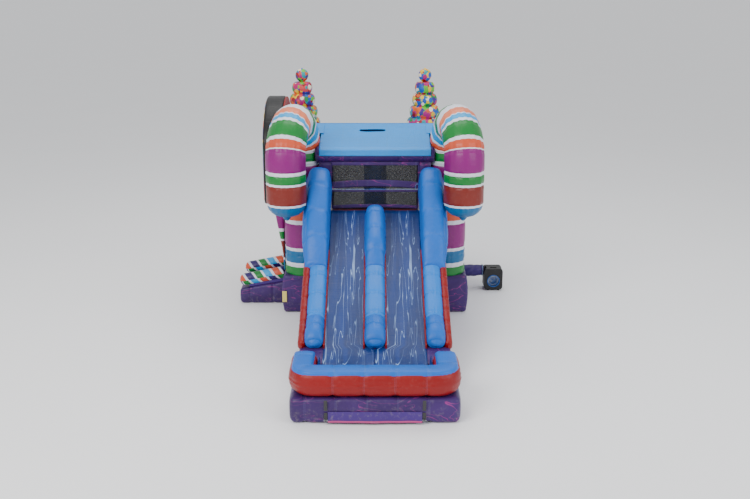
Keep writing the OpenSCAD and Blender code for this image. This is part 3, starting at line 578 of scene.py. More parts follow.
def striped(stripes, axis=0, slant=0.0):
    """A paint function for sewn stripes: a list of (end of stripe in metres, colour) along an axis.

    Each ramp holds at most 30 stripes, so longer lists are joined where one ramp ends.
    """
    def paint(tree, uv, at):
        parts = add(tree, "ShaderNodeSeparateXYZ", {0: uv}).outputs
        along = calc(tree, "MULTIPLY_ADD", parts[1 - axis], slant, parts[axis])
        total = stripes[-1][0]
        fraction = calc(tree, "DIVIDE", along, total)
        result = None
        for first in range(0, len(stripes), 30):
            ramp = add(tree, "ShaderNodeValToRGB", {0: fraction})
            ramp.color_ramp.interpolation = "CONSTANT"
            points = ramp.color_ramp.elements
            chosen = stripes[first:first + 30]
            while len(points) < len(chosen):
                points.new(0.5)
            while len(points) > len(chosen):
                points.remove(points[-1])
            starts = [0.0 if n == 0 else stripes[n - 1][0] / total for n in range(first, first + len(chosen))]
            for k, (_, colour) in enumerate(chosen):
                points[k].position = starts[k]
                points[k].color = srgb(*colour)
            if result is None:
                result = ramp.outputs["Color"]
            else:
                result = blend_colour(tree, calc(tree, "GREATER_THAN", fraction, starts[0]), result,
                                      ramp.outputs["Color"])
        return result
    return paint


def oval_print(scale):
    """A paint function for the print of coloured ovals."""
    def paint(tree, uv, at):
        return use(tree, BEANS, {"Vector": at, "Scale": scale})["Color"]
    return paint


# %% Soft materials
WHITE, GREEN, BLUE = (226, 228, 236), (24, 142, 70), (0, 122, 168)
SKY, MAGENTA, ORANGE = (40, 172, 224), (150, 20, 132), (214, 104, 70)
# The first colour below is painted shade: the cane's orange ring drawn brownish red, as it looks in shadow.
ORANGE_IN_SHADOW, PEACH = (142, 56, 44), (230, 140, 104)
PURPLE_PAINT = marbled((74, 44, 108), (170, 74, 150), (98, 62, 138), 1.5, 0.012, (1.0, 1.0, 2.6))
M_PURPLE = vinyl("purple marble vinyl", PURPLE_PAINT, seam=(0, 0.5))
M_PURPLE_PLAIN = vinyl("purple vinyl", (92, 62, 142), 0.8)
M_BLUE = vinyl("blue vinyl", (0, 122, 204), seam=(0, 0.5))
M_SKY = vinyl("sky blue vinyl", (2, 140, 218), seam=(0, 0.5))
M_ROOF = vinyl("roof sheet", (40, 160, 226), 1.6, (0, 0.93), dusty=2.0)
M_RED = vinyl("red vinyl", (156, 0, 4), seam=(0, 0.5))
M_LANE = vinyl("lane marble vinyl", marbled((0, 62, 122), (190, 215, 250), (0, 82, 160), 8.5, 0.012,
                                            (1.0, 0.055, 1.0), True), 1.2, rough=0.42)
M_LINER = vinyl("liner marble vinyl", marbled((0, 48, 122), (90, 150, 215), (0, 80, 168), 3.4, 0.014), 0.8)
M_OVALS = vinyl("oval print vinyl", oval_print(8.5), seam=(0, 0.28))
M_BLACK = vinyl("black vinyl", (18, 18, 22), thread=(70, 70, 76))
M_YELLOW = vinyl("yellow vinyl", (235, 190, 30), 0.7)
M_MAT = vinyl("floor mat vinyl", (10, 104, 180), 0.5, (0, 0.6))
M_PINK = vinyl("pink binding", (196, 92, 150), 0.3)
M_BAND = vinyl("sleeve band", (176, 214, 236), 0.3)
M_SLEEVE = vinyl("sleeve cloth", (72, 46, 126), 0.9)

# %% [markdown]
# Webbing, netting, cord, steel and moulded plastic follow the same plan with other effects.
# %% Webbing, netting and rigid materials


def webbing(name, colour, rough=0.75):
    """Ribbed woven tape."""
    made, tree, shader, uv, at = start_material(name)
    weave = use(tree, WEB, {"UV": uv})
    fuzz = noise(tree, at, 60.0, 4.0)
    tone = blend_colour(tree, calc(tree, "MULTIPLY", fuzz, 0.25), srgb(*colour), srgb(120, 120, 124))
    tree.links.new(shaded(tree, tone, weave["Shade"]), shader.inputs["Base Color"])
    shader.inputs["Roughness"].default_value = rough
    shader.inputs["Sheen Weight"].default_value = 0.3
    bump = add(tree, "ShaderNodeBump", {"Height": weave["Height"], "Strength": 0.7, "Distance": 1.0})
    tree.links.new(bump.outputs[0], shader.inputs["Normal"])
    return made


def netting(name, colour, pitch):
    """Netting: strands are opaque and the mesh holes are clear."""
    made, tree, shader, uv, at = start_material(name)
    mesh_marks = use(tree, NETTING, {"UV": uv, "Pitch": pitch})
    tone = blend_colour(tree, noise(tree, at, 8.0, 3.0), srgb(*colour), srgb(*[c + 16 for c in colour]))
    tree.links.new(tone, shader.inputs["Base Color"])
    tree.links.new(mesh_marks["Alpha"], shader.inputs["Alpha"])
    shader.inputs["Roughness"].default_value = 0.7
    bump = add(tree, "ShaderNodeBump", {"Height": mesh_marks["Height"], "Strength": 0.5, "Distance": 1.0})
    tree.links.new(bump.outputs[0], shader.inputs["Normal"])
    return made


def moulded(name, colour, rough=0.45, metal=0.0, wear=(120, 120, 124), amount=0.25):
    """Moulded plastic, or metal, with a fine grain, cloudy tone and scuffs."""
    made, tree, shader, uv, at = start_material(name)
    grain = use(tree, GRAIN, {"Place": at})
    tone = shaded(tree, srgb(*colour), grain["Shade"])
    tone = blend_colour(tree, calc(tree, "MULTIPLY", grain["Wear"], amount), tone, srgb(*wear))
    tree.links.new(tone, shader.inputs["Base Color"])
    tree.links.new(calc(tree, "MULTIPLY_ADD", grain["Shade"], 0.3, rough - 0.3), shader.inputs["Roughness"])
    shader.inputs["Metallic"].default_value = metal
    bump = add(tree, "ShaderNodeBump", {"Height": grain["Height"], "Strength": 0.35, "Distance": 1.0})
    tree.links.new(bump.outputs[0], shader.inputs["Normal"])
    return made


M_WEB = webbing("black webbing", (16, 16, 18))
M_CORD = webbing("blue cord", (96, 140, 205), 0.7)
M_NET = netting("black netting", (14, 14, 18), 0.014)
M_HOUSING = moulded("blower plastic", (20, 20, 23), 0.5)
M_INLET = moulded("inlet plastic", (0, 84, 165), 0.4)
M_SWITCH = moulded("switch plastic", (10, 10, 12), 0.35)
M_ZINC = moulded("zinc plate", (176, 180, 186), 0.4, 1.0, (96, 90, 84), 0.4)
M_FAN = moulded("fan sheet metal", (168, 172, 178), 0.45, 1.0, (110, 104, 98), 0.3)
M_MOTOR = moulded("motor casting", (98, 102, 110), 0.55, 0.6)
M_ZIP = moulded("zip tape", (36, 36, 42), 0.7)
M_CARD = vinyl("blank card", (238, 222, 140), 0.2, rough=0.5)
print("materials:", len(bpy.data.materials))

# %% [markdown]
# ## Jump mattress and low wall
# The mattress is a big flat chamber with inner webs, so its top has shallow channels and its sides
# bow out between seams. The real one is cut as a box with gussets. The webs are inside it.
# %% Jump mattress


def block(name, lo, hi, material, along="y", edge=0.07, puff=0.03, seams=0.5, replaces=(), slot=None):
    """A puffed box between two corners: its sides start inside the box and bow out to its faces."""
    lo, hi = np.array(lo, float), np.array(hi, float)
    middle = (lo + hi) / 2
    half = (hi - lo) / 2
    axis = {"x": 0, "y": 1}[along]
    side = 1 - axis
    path = np.array([middle, middle])
    path[0][axis] = lo[axis] + puff
    path[1][axis] = hi[axis] - puff
    sideways = np.eye(3)[side]
    mesh = chamber(name, path, half[side] - puff, half[2] - 0.004, edge, (puff, 0.004, puff, 0.0),
                   (edge, edge), (puff, puff), even_seams(path, seams), (0.014, 0.05), (18, 0.004),
                   axes=(sideways, (0, 0, 1)), flat=14)
    return place(name, mesh, material, replaces=replaces)


def box_block(node, material, along="y", **more):
    """A puffed box over the box of one CAD node."""
    lo, hi = low_high(node)
    return block(node.replace("_", " "), lo, hi, material, along, replaces=(node,), **more)


mattress = box_block("jump_base", M_PURPLE, edge=0.06, seams=0.5, slot="vinyl_purple")
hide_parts("air_baffles")
lo, hi = low_high("jump_floor")


def mat_surface(u, v):
    """The mat: flat with shallow channels a cm deep, one for each inner web."""
    x = lo[0] + (hi[0] - lo[0]) * u
    y = lo[1] + (hi[1] - lo[1]) * v
    z = hi[2] + 0.006 + 0.005 * np.abs(np.sin(v * math.pi * 5)) + 0.002 * ripple(x, y, 3)
    inside = np.minimum(hi[1], 1.36)
    return x, np.where(np.abs(x) > 1.36, np.minimum(y, inside), y), z


mat = sheet_piece("jump mat", mat_surface, (hi[0] - lo[0], hi[1] - lo[1]), (90, 70), M_MAT, 0.003,
                  replaces=("jump_floor",))
print("mattress", [round(v, 2) for v in mattress.dimensions], "mat", [round(v, 2) for v in mat.dimensions])

# %% Low wall round the mattress
DOOR_Y = low_high("door_frame")[1][1] - 0.26
REAR_BLOCK = low_high("rear_posts")[1][0] - 0.59
KERB_IN = low_high("jump_floor")[1][0]
FRONT_BLOCK = low_high("cane_right")[0][0]
FRONT_DEPTH, REAR_DEPTH = 0.85, 0.6
kerb_parts = []
for side in (-1, 1):
    x_pair = sorted((side * FRONT_BLOCK, side * SIDE_X))
    kerb_parts.append(("front corner", (x_pair[0] - 0.006, FRONT_Y - 0.006, 0.002),
                       (x_pair[1] + 0.006, FRONT_Y + FRONT_DEPTH, KERB_Z), "y"))
    x_pair = sorted((side * REAR_BLOCK, side * SIDE_X))
    kerb_parts.append(("rear corner", (x_pair[0], REAR_Y - REAR_DEPTH, KERB_LO[2]),
                       (x_pair[1], REAR_Y, KERB_Z),
                       "y"))
kerb_parts.append(("left wall", (-SIDE_X, DOOR_Y, KERB_LO[2]), (-KERB_IN, REAR_Y - REAR_DEPTH, KERB_Z), "y"))
kerb_parts.append(("right wall", (KERB_IN, FRONT_Y + FRONT_DEPTH, KERB_LO[2]),
                   (SIDE_X, REAR_Y - REAR_DEPTH, KERB_Z), "y"))
kerb_parts.append(("rear wall", (-REAR_BLOCK, REAR_Y - 0.4, KERB_LO[2]), (REAR_BLOCK, REAR_Y, KERB_Z), "x"))
for count, (label, low, high, run) in enumerate(kerb_parts):
    part = block("low wall " + label + " " + str(count), low, high, M_PURPLE, run,
                 edge=0.06 if low[2] < 0.1 else 0.035, puff=0.03,
                 replaces=("wall_kerb",), slot="vinyl_purple")
print("low wall parts:", len(kerb_parts))

# %% [markdown]
# ## Candy canes
# Each corner post turns over at the top into a hook, like a candy cane. The real ones are tubes
# sewn from coloured rings, and each ring seam pulls the tube in a little. The path is a straight
# line, a half circle forward and a short leg, and the rings are counted from the leg's tip.
# %% Canes
CANE_X, CANE_Y, CANE_R = FRONT_BLOCK + 0.4, FRONT_Y + 0.4, 0.395
CANE_TOP = low_high("cane_right")[1][2]
HOOK_R, HOOK_YAW, HOOK_LEG = 0.68, math.radians(9), 1.04
ARCH_Z = CANE_TOP - HOOK_R - 0.4
# The ring from 0.27 to 0.63 m from the leg's tip is the orange ring with painted shade, drawn brownish red as
# it looks in shadow.
RINGS = [(0.21, BLUE), (0.27, WHITE), (0.63, ORANGE_IN_SHADOW), (0.685, WHITE), (0.845, GREEN), (0.92, WHITE),
         (1.245, MAGENTA), (1.29, WHITE), (1.39, ORANGE), (1.43, WHITE), (1.66, GREEN), (1.71, WHITE),
         (1.81, SKY), (1.84, WHITE), (1.96, PEACH), (2.2, WHITE), (2.4, GREEN), (2.5, WHITE), (2.75, SKY),
         (2.85, WHITE), (3.0, ORANGE), (3.1, WHITE), (3.3, GREEN), (3.4, WHITE), (3.75, MAGENTA),
         (3.84, WHITE), (4.05, GREEN), (4.15, WHITE), (4.56, ORANGE), (4.65, WHITE), (5.14, MAGENTA),
         (5.23, WHITE), (5.33, BLUE), (5.48, BLUE), (5.57, WHITE), (5.9, GREEN)]


def cane_path(side):
    """Points of a cane's centre line from the leg's tip to the low wall."""
    t = np.linspace(math.pi, 0, 40)
    forward = np.concatenate([[-2 * HOOK_R], HOOK_R * (np.cos(t) - 1), [0]])
    up = np.concatenate([[ARCH_Z - HOOK_LEG], ARCH_Z + HOOK_R * np.sin(t), [KERB_Z - 0.02]])
    turn = side * HOOK_YAW
    return np.stack([side * CANE_X - math.sin(turn) * forward, CANE_Y + math.cos(turn) * forward, up], -1)


M_CANE = vinyl("cane stripes", striped(RINGS), 0.9, (0, 0.0), 0.34)
for side, node in ((-1, "cane_left"), (1, "cane_right")):
    line = cane_path(side)
    ring_seams = [end for end, _ in RINGS if 0.2 < end < path_length(line) - 0.1]
    mesh = chamber(node, line, CANE_R, CANE_R, CANE_R, 0.0, (0.3, 0.05), (0.1, 0.0), ring_seams,
                   (0.011, 0.028), (15, 0.006), step=0.035, flat=0, turn=16)
    cane = place("candy cane " + side_name(side), mesh, M_CANE, replaces=(node,))
print("cane line", round(path_length(line), 2), "m with", len(RINGS), "rings")

# %% [markdown]
# ## Rear posts, top tubes and ridge
# Plain tubes close the frame at the top. Rings of stitching hold their round shape.
# %% Tubes


def tube(name, start, end, radius, material, node, ends=0.06, bulge=0.02, seams=0.5,
         pucker=0.006):
    """A straight air tube between two points."""
    path = np.array([start, end], float)
    mesh = chamber(name, path, radius, radius, radius, 0.0, (ends, ends), (bulge, bulge),
                   even_seams(path, seams), (0.012, 0.035), (13, pucker), flat=0, turn=10)
    made = place(name, mesh, material, replaces=(node,))
    return made


lo, hi = low_high("rear_posts")
POST_R = 0.29
for side in (-1, 1):
    tube("rear post " + side_name(side),
         (side * (hi[0] - POST_R), hi[1] - POST_R, KERB_Z - 0.01),
         (side * (hi[0] - POST_R), hi[1] - POST_R, hi[2]), POST_R, M_CANE, "rear_posts", seams=0.55)
lo, hi = low_high("beam_front")
tube("front top tube", (-CANE_X + 0.3, (lo[1] + hi[1]) / 2, (lo[2] + hi[2]) / 2),
     (CANE_X - 0.3, (lo[1] + hi[1]) / 2, (lo[2] + hi[2]) / 2), (hi[2] - lo[2]) / 2, M_PURPLE, "beam_front",
     seams=0.5)
for node in ("beam_left", "beam_right"):
    lo, hi = low_high(node)
    middle = (lo + hi) / 2
    tube(node.replace("_", " "), (middle[0], lo[1] - 0.05, middle[2]), (middle[0], hi[1] + 0.05, middle[2]),
         (hi[2] - lo[2]) / 2, M_BLUE, node)
lo, hi = low_high("beam_rear")
middle = (lo + hi) / 2
tube("rear top tube", (lo[0] + 0.02, middle[1], middle[2]), (hi[0] - 0.02, middle[1], middle[2]),
     (hi[2] - lo[2]) / 2, M_BLUE, "beam_rear")
lo, hi = low_high("ridge_frame")
RIDGE_R = 0.12
RIDGE_Y = (lo[1] + hi[1]) / 2
tube("roof ridge tube", (lo[0], RIDGE_Y, hi[2] - RIDGE_R), (hi[0], RIDGE_Y, hi[2] - RIDGE_R), RIDGE_R, M_BLUE,
     "ridge_frame")
for side in (-1, 1):
    tube("ridge post " + side_name(side), (side * (hi[0] - RIDGE_R), RIDGE_Y, lo[2]),
         (side * (hi[0] - RIDGE_R), RIDGE_Y, hi[2] - RIDGE_R), RIDGE_R - 0.01, M_BLUE, "ridge_frame",
         ends=0.03, seams=0.25)
lo, hi = low_high("door_frame")
tube("door post", ((lo[0] + hi[0]) / 2, hi[1] - 0.13, lo[2]), ((lo[0] + hi[0]) / 2, hi[1] - 0.13, hi[2]),
     0.13, M_BLUE, "door_frame", ends=0.03)
tube("door top tube", ((lo[0] + hi[0]) / 2, lo[1] - 0.03, 2.43), ((lo[0] + hi[0]) / 2, hi[1] - 0.13, 2.43),
     0.12, M_BLUE, "door_frame")
lo, hi = low_high("divider_post")
tube("slide divider post", (0, (lo[1] + hi[1]) / 2, lo[2]), (0, (lo[1] + hi[1]) / 2, hi[2]), 0.236, M_BLUE,
     "divider_post", ends=0.04)

# %% [markdown]
# ## Cones
# The two turrets are stacks of puffed tiers. Eight lengthwise gores and the seams between tiers pinch
# them in. A tier's radius is its waist plus the rest times the cosine of the angle up its side.
# %% Cones
TIERS, TIER_H, BALL_R, TIER_R = 4, 0.28, 0.155, 0.425


def cone_radius(s):
    """The cone's radius at height s above its foot."""
    k = np.minimum(np.floor(s / TIER_H), TIERS)
    out = TIER_R - (TIER_R - BALL_R - 0.085) * k / (TIERS - 1)
    waist = np.maximum(out - 0.3 * TIER_H, 0.02)
    turn = np.clip(2 * (s - k * TIER_H) / TIER_H - 1, -1, 1)
    tier = waist + (out - waist) * np.sqrt(np.maximum(0, 1 - turn ** 2))
    ball = BALL_R * np.sqrt(np.maximum(0, 1 - ((s - TIERS * TIER_H) / BALL_R - 1) ** 2))
    return np.maximum(np.where(k >= TIERS, ball, tier), 0.055)


for node in ("cone_left", "cone_right"):
    lo, hi = low_high(node)
    middle = (lo + hi) / 2
    path = [(middle[0], middle[1], lo[2]), (middle[0], middle[1], hi[2] - 0.004)]
    mesh = chamber(node, path, cone_radius, cone_radius, cone_radius, 0.0, (0.02, 0.03), (0.0, 0.02),
                   gores=(8, 0.05), step=0.012, flat=0, turn=16)
    place(node.replace("_", " "), mesh, M_OVALS, replaces=(node,))

# %% [markdown]
# ## Roof sheet
# The roof is a loose single sheet laid over the tubes, so it sags between them and wrinkles. Its front
# and rear halves are separate, and a short lens-shaped vent is left between them at the ridge.
# %% Roof
lo, hi = low_high("roof_canopy")
FRONT_X = CANE_X - CANE_R + 0.01
EAVE_Z = (low_high("beam_front")[0][2] + low_high("beam_front")[1][2]) / 2


def polyline_surface(points, sag, seed, half_width, fold=0.02):
    """A roof half: a profile in Y and Z carried across, with sag between its ends and soft folds.

    z = profile(v) - sag * sin(pi v) + fold * ripple * sin(pi v)^0.5, and the profile is read by length.
    """
    profile = np.array(points, float)
    line = np.concatenate([np.zeros((len(profile), 1)), profile], axis=1)

    def surface(u, v):
        """The point of the sheet at u across and v along."""
        at = along_path(line, v.ravel() * path_length(line)).reshape(*v.shape, 3)
        x = half_width * (2 * u - 1)
        free = np.clip(np.sin(math.pi * v), 0, 1) * np.clip((v - 0.26) / 0.2, 0, 1)
        scallop = 0.25 * np.abs(np.sin(2 * math.pi * (u + 0.5))) + 0.75
        z = at[..., 2] - sag * np.sin(math.pi * v) * scallop + fold * free * ripple(3 * u, 2 * v, seed, 7)
        return x, at[..., 1], z
    return surface, path_length(line)


front_line = [(lo[1], EAVE_Z), (lo[1] + 0.01, EAVE_Z + 0.12), (lo[1] + 0.09, EAVE_Z + 0.17),
              (lo[1] + 0.2, EAVE_Z + 0.195), (RIDGE_Y - 0.72, EAVE_Z + 0.28), (RIDGE_Y, hi[2])]
surface, length = polyline_surface(front_line, 0.0, 5, FRONT_X, 0.03)
VENT_X, VENT_V, VENT_HALF = -0.06, 0.76, 0.3


def front_roof(u, v):
    """The front half, with the sheet's lower lip hanging open in a lens at the vent."""
    x, y, z = surface(u, v)
    lens = np.sqrt(np.clip(1 - ((x - VENT_X) / VENT_HALF) ** 2, 0, 1))
    below = np.clip((v - VENT_V + 0.12) / 0.12, 0, 1) * (v < VENT_V)
    above = np.clip((VENT_V + 0.12 - v) / 0.12, 0, 1) * (v >= VENT_V)
    return x, y, z - 0.03 * lens * below ** 2 + 0.012 * lens * above ** 2


roof_front = sheet_piece("roof sheet front", front_roof, (2 * FRONT_X, length), (110, 80), M_ROOF, CLOTH_T,
                         replaces=("roof_canopy",))
work = bmesh.new()
work.from_mesh(roof_front.data)
vent_y = float(front_roof(np.array([0.5]), np.array([VENT_V]))[1][0])
bmesh.ops.delete(work, context="FACES", geom=[
    face for face in work.faces
    if abs(face.calc_center_median().x - VENT_X) < VENT_HALF
    and abs(face.calc_center_median().y - vent_y)
    < 0.022 * math.sqrt(1 - ((face.calc_center_median().x - VENT_X) / VENT_HALF) ** 2)])
work.to_mesh(roof_front.data)
work.free()
step_y = CANE_Y + 0.43
mid_z = hi[2] + (EAVE_Z + 0.18 - hi[2]) * (RIDGE_Y - step_y) / (RIDGE_Y - lo[1] - 0.2)
for side in (-1, 1):
    inner, outer = FRONT_X - 0.06, hi[0]

    def wing(u, v, inner=inner, outer=outer, side=side):
        """The part of the front half beside the posts, from the ridge down to the side tube."""
        x = inner + (outer - inner) * u
        edge = np.clip((x - 1.25) / (outer - 1.25), 0, 1) ** 1.5
        y = RIDGE_Y + (step_y - RIDGE_Y) * v
        z = hi[2] + (mid_z - hi[2]) * v + 0.01 * ripple(u, v, 9) * np.sin(math.pi * v)
        return side * x, y, z - (z - 3.43) * edge
    made = sheet_piece("roof wing " + side_name(side), wing,
                       (outer - inner, RIDGE_Y - step_y),
                       (40, 40), M_ROOF, CLOTH_T, replaces=("roof_canopy",), flip=side < 0)
rear_line = [(RIDGE_Y, hi[2] + 0.004), (RIDGE_Y + 0.06, hi[2] - 0.004), (1.08, lo[2] + 0.02),
             (hi[1], lo[2] + 0.01)]
rear_surface, rear_length = polyline_surface(rear_line, 0.02, 8, hi[0], 0.02)


def rear_roof(u, v):
    """The rear half, with its sides let down over the side tubes."""
    x, y, z = rear_surface(u, v)
    edge = np.clip((np.abs(x) - 1.25) / (hi[0] - 1.25), 0, 1) ** 1.5
    return x, y, z - (z - 3.43) * edge


roof_rear = sheet_piece("roof sheet rear", rear_roof, (2 * hi[0], rear_length), (120, 80), M_ROOF, CLOTH_T,
                        replaces=("roof_canopy",))
print("roof front", round(length, 2), "m, rear", round(rear_length, 2), "m long")

# %% [markdown]
# ## Side nets
# Black knotless netting fills the walls between the tubes, bound with tape round its edges.
# %% Side nets


def flat_net(name, lo, hi, axis, node):
    """A hung net in a plane of constant axis, bowed a centimetre out of it."""
    other = 1 - axis

    def surface(u, v):
        """The net's point at u across and v down its height."""
        across = lo[other] + (hi[other] - lo[other]) * u
        z = lo[2] + (hi[2] - lo[2]) * v
        outward = np.sign(lo[axis])
        bow = (lo[axis] + hi[axis]) / 2 + 0.012 * np.sin(math.pi * u) * np.sin(math.pi * v) * outward
        bow = bow + 0.003 * ripple(u, v, 21)
        return (bow, across, z) if axis == 0 else (across, bow, z)
    size = (hi[other] - lo[other], hi[2] - lo[2])
    made = sheet_piece(name, surface, size, (60, 60), M_NET, NET_T, replaces=(node,))
    return made


for node, axis in (("net_right", 0), ("net_left", 0), ("net_rear", 1)):
    lo, hi = low_high(node)
    flat_net(node.replace("_", " "), lo, hi, axis, node)

# %% [markdown]
# ## Sign over the entrance
# The sign is a deep arched chamber. Its printed face and red back are sewn to a black gusset.
# %% Sign


def arch_outline(y0, y1, low, top, drop, inset=0.0, count=40):
    """The sign's outline in Y and Z: an arc over square lower corners, drawn inwards by inset."""
    half = (y1 - y0) / 2
    radius = (half * half + drop * drop) / (2 * drop)
    turn = math.asin(half / radius)
    a = np.linspace(-turn, turn, count)
    reach = radius - inset
    arc = np.stack([y0 + half + reach * np.sin(a), top - radius + reach * np.cos(a)], -1)
    t = np.linspace(0, 1, 12)[1:-1, None]
    right = np.array([y1 - inset, low + inset])
    left = np.array([y0 + inset, low + inset])
    down = arc[-1] + (right - arc[-1]) * t
    floor = right + (left - right) * np.linspace(0, 1, 24)[:, None]
    up = left + (arc[0] - left) * t
    return np.concatenate([arc, down, floor, up])


def slab(name, outline, x0, x1, edge, puff, material, replaces, steps=6):
    """A puffed slab: the outline at x0 and x1 with round edges and bowed faces."""
    phi = np.linspace(0, math.pi / 2, steps)
    caps = np.linspace(0, 1, 9)[:-1]
    x = np.concatenate([x0 - puff * (1 - caps ** 2), x0 + edge * (1 - np.cos(phi)),
                        np.linspace(x0 + edge, x1 - edge, 8)[1:-1], x1 - edge * (1 - np.cos(phi[::-1])),
                        x1 + puff * (1 - caps[::-1] ** 2)])
    inset = np.concatenate([np.full(8, edge), edge * (1 - np.sin(phi)), np.zeros(6),
                            edge * (1 - np.sin(phi[::-1])), np.full(8, edge)])
    scale = np.concatenate([caps, np.ones(2 * steps + 6), caps[::-1]])
    rows = np.stack([outline(float(i)) for i in inset])
    centre = rows.mean(axis=1, keepdims=True)
    rows = centre + (rows - centre) * scale[:, None, None]
    points = np.concatenate([np.broadcast_to(x[:, None, None], (*rows.shape[:2], 1)), rows], -1)
    around = np.linalg.norm(np.diff(np.concatenate([rows, rows[:, :1]], 1), axis=1), axis=-1)
    around = np.concatenate([np.zeros((len(x), 1)), np.cumsum(around, axis=1)], axis=1)
    uv = np.stack([around, np.broadcast_to(x[:, None], around.shape)], -1)
    return place(name, grid_mesh(name, points, uv, wrap=True), material, replaces=replaces)


lo, hi = low_high("sign_panel")
FACE_X = low_high("sign_face")[0][0]
BACK_X = low_high("sign_back")[1][0]


def sign_shape(inset):
    """The sign's outline at an inset."""
    return arch_outline(lo[1], hi[1], lo[2], hi[2], 0.85, inset)


slab("sign body", sign_shape, FACE_X + 0.012, BACK_X - 0.03, 0.05, 0.002, M_BLACK, ("sign_panel",))
slab("sign printed face", lambda inset: sign_shape(inset + 0.06), FACE_X + 0.002, FACE_X + 0.03,
               0.006, 0.004, vinyl("sign print", oval_print(3.2), 0.7), ("sign_face",))
slab("sign red back", lambda inset: sign_shape(inset + 0.012), BACK_X - 0.035, BACK_X + 0.004,
               0.016, 0.012, M_RED, ("sign_back",))
lo, hi = low_high("sign_legs")
LEG_W, LEG_FOOT, FOOT_HALF = 0.32, 0.32, 0.016
for number, y in enumerate((lo[1] + LEG_W / 2, hi[1] - LEG_W / 2)):
    leg_line = np.array([(hi[0] - FOOT_HALF, y, lo[2]), (hi[0] - FOOT_HALF, y, lo[2] + LEG_FOOT),
                         ((lo[0] + hi[0]) / 2, y, hi[2])])

    def leg_half(s, line=leg_line):
        """Half the leg's depth, which grows from the foot to the sign."""
        return np.interp(s, [0, LEG_FOOT, path_length(line)], [FOOT_HALF, FOOT_HALF, 0.11])
    mesh = chamber("sign leg", leg_line, 0.155, leg_half, 0.05, 0.005, (0.015, 0.03), (0.0, 0.0), (0.5, 0.9),
                   (0.006, 0.03), axes=((0, 1, 0), (1, 0, 0)))
    place("sign leg " + str(number + 1), mesh, M_CANE, replaces=("sign_legs",))
print("sign body", [round(float(v), 2) for v in hi - lo])

# %% [markdown]
# ## Entrance ramp
# A short wedge to climb in by, with a striped bolster down each side.
# %% Ramp


def tall_run(x, ys, low, high, axis=1):
    """A path down the middle of a piece whose underside and top change along it.

    Gives the path and a function for half its height at a distance along the path.
    """
    low, high = np.broadcast_to(low, len(ys)), np.broadcast_to(high, len(ys))
    mid = (low + high) / 2
    side = np.full(len(ys), x)
    path = np.stack([side, ys, mid] if axis == 1 else [ys, side, mid], -1)
    length = np.concatenate([[0], np.cumsum(np.linalg.norm(np.diff(path, axis=0), axis=1))])
    return path, lambda s: np.interp(s, length, (high - low) / 2)


lo, hi = low_high("ramp_body")
RAMP_LOW, RAMP_Y = 0.33, (lo[1] + hi[1]) / 2
xs = np.linspace(hi[0], lo[0] + 0.02, 12)
path, half = tall_run(RAMP_Y, xs, 0.0, np.linspace(BASE_HI[2], RAMP_LOW, 12), axis=0)
mesh = chamber("ramp", path, (hi[1] - lo[1]) / 2 - 0.02, half, 0.06, (0.02, 0.006, 0.02, 0.0), (0.01, 0.07),
               (0.0, 0.02), even_seams(path, 0.5), (0.012, 0.04), (16, 0.004), axes=((0, 1, 0), (0, 0, 1)),
               flat=12)
place("entrance ramp", mesh, M_PURPLE, replaces=("ramp_body",))
RAIL_RINGS = []
for k in range(24):
    RAIL_RINGS.append((0.2 * (k // 2) + (0.15 if k % 2 == 0 else 0.2),
                       (ORANGE, WHITE, (62, 34, 120), WHITE, GREEN, WHITE, SKY, WHITE)[k % 8]))
M_RAIL = vinyl("slanted stripes", striped(RAIL_RINGS, 0, 0.45), 0.8)
lo, hi = low_high("ramp_rails")
TUBE_R = 0.13
for number, y in enumerate((lo[1] + TUBE_R, hi[1] - TUBE_R)):
    path = [(lo[0] + 0.01, y, RAMP_LOW + 0.17), (hi[0] + 0.005, y, hi[2] - TUBE_R)]
    mesh = chamber("ramp rail", path, TUBE_R, TUBE_R, TUBE_R, 0.0, (0.11, 0.03), (0.015, 0.0),
                   even_seams(path, 0.2), (0.006, 0.025), (11, 0.005), flat=0, turn=10)
    place("ramp rail " + str(number + 1), mesh, M_RAIL, replaces=("ramp_rails",))
    xs = np.linspace(hi[0], lo[0] + 0.2, 8)
    path, half = tall_run(y, xs, np.linspace(BASE_HI[2] - 0.01, RAMP_LOW + 0.03, 8),
                          np.linspace(hi[2] - 0.16, RAMP_LOW + 0.2, 8), axis=0)
    mesh = chamber("ramp rail foot", path, 0.065, half, 0.03, 0.008, (0.01, 0.03), (0.0, 0.01),
                   axes=((0, 1, 0), (0, 0, 1)))
    place("ramp rail foot " + str(number + 1), mesh, M_PURPLE_PLAIN, replaces=("ramp_rails",))

# %% [markdown]
# ## Climb inside the jump
# Children climb a steep red wedge to the slide's deck, up four yellow rolls with webbing handles.
# %% Climb
lo, hi = low_high("climb_wall")
CLIMB_TOP_Y = FRONT_Y + 0.43
heights = np.linspace(lo[2], hi[2], 12)
back_y = np.linspace(hi[1], CLIMB_TOP_Y, 12)
climb_line = np.stack([np.zeros(12), (lo[1] + back_y) / 2, heights], -1)
climb_length = np.concatenate([[0], np.cumsum(np.linalg.norm(np.diff(climb_line, axis=0), axis=1))])


def climb_half(s):
    """Half the wedge's depth, which shrinks from the mat to the deck."""
    return np.interp(s, climb_length, (back_y - lo[1]) / 2)


